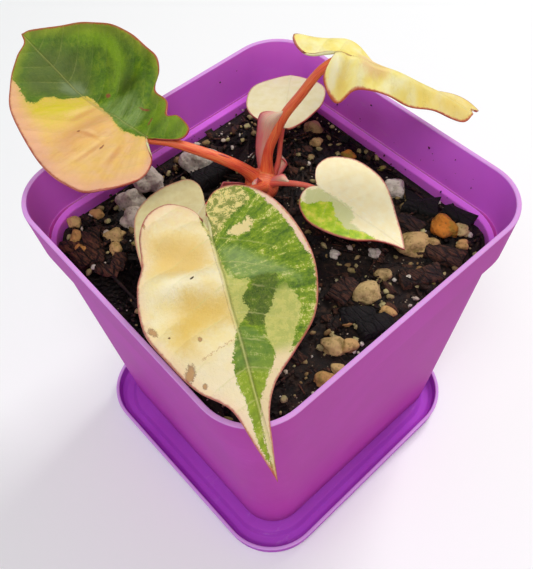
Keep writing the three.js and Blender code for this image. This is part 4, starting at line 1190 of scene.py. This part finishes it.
def mix_lumps():
    """Every lump on the mix; the order of the draws fixes where the strewn ones lie."""
    draw = random.Random(4)
    white = mineral("pumice_finish", (206, 198, 184), (112, 100, 88), (196, 176, 156))
    grit = mineral("grit_finish", (182, 172, 122), (80, 72, 34), (132, 100, 62))
    warm = mineral("stone_finish", (196, 178, 126), (104, 88, 44), (196, 118, 40))
    bark = woody("bark_finish", (22, 13, 10), (118, 72, 50))
    coal = woody("charcoal_finish", (14, 12, 11), (40, 35, 31))
    crumbs = woody("crumb_lump_finish", (16, 11, 9), (74, 50, 36))
    lumps("mix_pumice", placed(PUMICE), ball(4), white)
    lumps("mix_stones", placed(STONES), ball(3), warm)
    lumps("mix_grit", strewn(draw, 480, 0.7, 3, 1.1, (0.5, 0.9)), pebble, grit)
    lumps("mix_white_grit", strewn(draw, 190, 0.5, 2.4, 1.15, (0.5, 0.9)), pebble, white)
    lumps("mix_bark", placed(BARK) + strewn(draw, 260, 1.2, 4.6, 0.9, (0.35, 0.8), (0.25, 0.5)), chip, bark)
    lumps("mix_charcoal", placed(CHARCOAL) + strewn(draw, 90, 1.2, 4.4, 0.7, (0.4, 0.8), (0.4, 0.7)), chip, coal)
    lumps("mix_fibres", strewn(draw, 260, 2.5, 9, 1.4, (0.05, 0.1), (0.04, 0.08)), chip, bark)
    lumps("mix_crumbs", strewn(draw, 1800, 0.5, 1.8, 1.0) + wall_crumbs(draw, 90), ball(1), crumbs)


def plant():
    stout = flesh("petiole_flesh", (234, 90, 62), (250, 108, 60), (255, 166, 88))
    slim = flesh("slim_petiole_flesh", (222, 100, 96), (232, 104, 70), (240, 146, 104))
    pink = skin("sheath_skin", (238, 132, 132), (190, 66, 66), (255, 220, 186))
    dusky = skin("dark_sheath_skin", (150, 66, 68), (196, 116, 112), (186, 110, 96))
    edge = rim("leaf_rim")
    for name, values in LEAVES.items():
        leaf = Leaf(values)
        top, below, slot = LOOKS[name]
        blade_piece(name, leaf, [top(name + "_top"), under(name + "_under", below), edge])
        path, turn = stalk_of(leaf)
        petiole(name, leaf, path, turn, slim if values["thick"][0] < SLIM else stout)
        sheath(name, leaf, path, turn, dusky if name == "leaf_low" else pink)


# The studio

def camera():
    """The photograph's view: a phone held close, above the pot's front corner."""
    view = bpy.data.cameras.new("view")
    view.sensor_width = 36
    view.lens = 45.7
    view.clip_start = 0.01
    eye = linked("view", view)
    turn, dip, roll = 0.906, 0.962, -0.079
    aim = (Matrix.Rotation(turn, 4, "Z") @ Matrix.Rotation(math.pi / 2 - dip, 4, "X")
           @ Matrix.Rotation(roll, 4, "Z"))
    eye.matrix_world = Matrix.Translation(Vector((97.6, -78.7, 244.7)) * MM) @ aim
    bpy.context.scene.camera = eye


def light(name, place, size, power, colour=(1, 1, 1)):
    lamp = bpy.data.lights.new(name, "AREA")
    lamp.size = size
    lamp.energy = power
    lamp.color = colour
    held = linked(name, lamp)
    held.location = place
    held.rotation_euler = (Vector((0, 0, 0.08)) - Vector(place)).to_track_quat("-Z", "Y").to_euler()


def studio():
    shape = bmesh.new()
    bmesh.ops.create_grid(shape, x_segments=1, y_segments=1, size=3)
    paper = Finish("floor_paper", Specular_IOR_Level=0.2, Roughness=0.9)
    white = paper.coats((248.15, 249.31, 248.15), (paper.noise(4, 2), (250.46, 251.61, 250.46)))
    dressed("floor", shape, [paper.wired(white)])
    light("sky", (0.3, -0.35, 1.1), 0.55, 5.9)
    light("window", (-0.1, 0.75, 0.9), 0.35, 6)
    light("cool side", (-0.5, -1.0, 0.35), 0.6, 1.5, (0.5, 0.6, 1.0))
    light("warm side", (1.1, 0.2, 0.4), 0.6, 0.9, (1.0, 0.6, 0.6))
    world = bpy.data.worlds.new("room")
    world.use_nodes = True
    glow = world.node_tree.nodes["Background"].inputs
    glow["Color"].default_value = (1, 1, 1, 1)
    glow["Strength"].default_value = 0.3
    bpy.context.scene.world = world
    bpy.context.scene.view_settings.view_transform = "Standard"


camera()
saucer()
pot()
potting_mix()
mix_lumps()
stem()
plant()
studio()
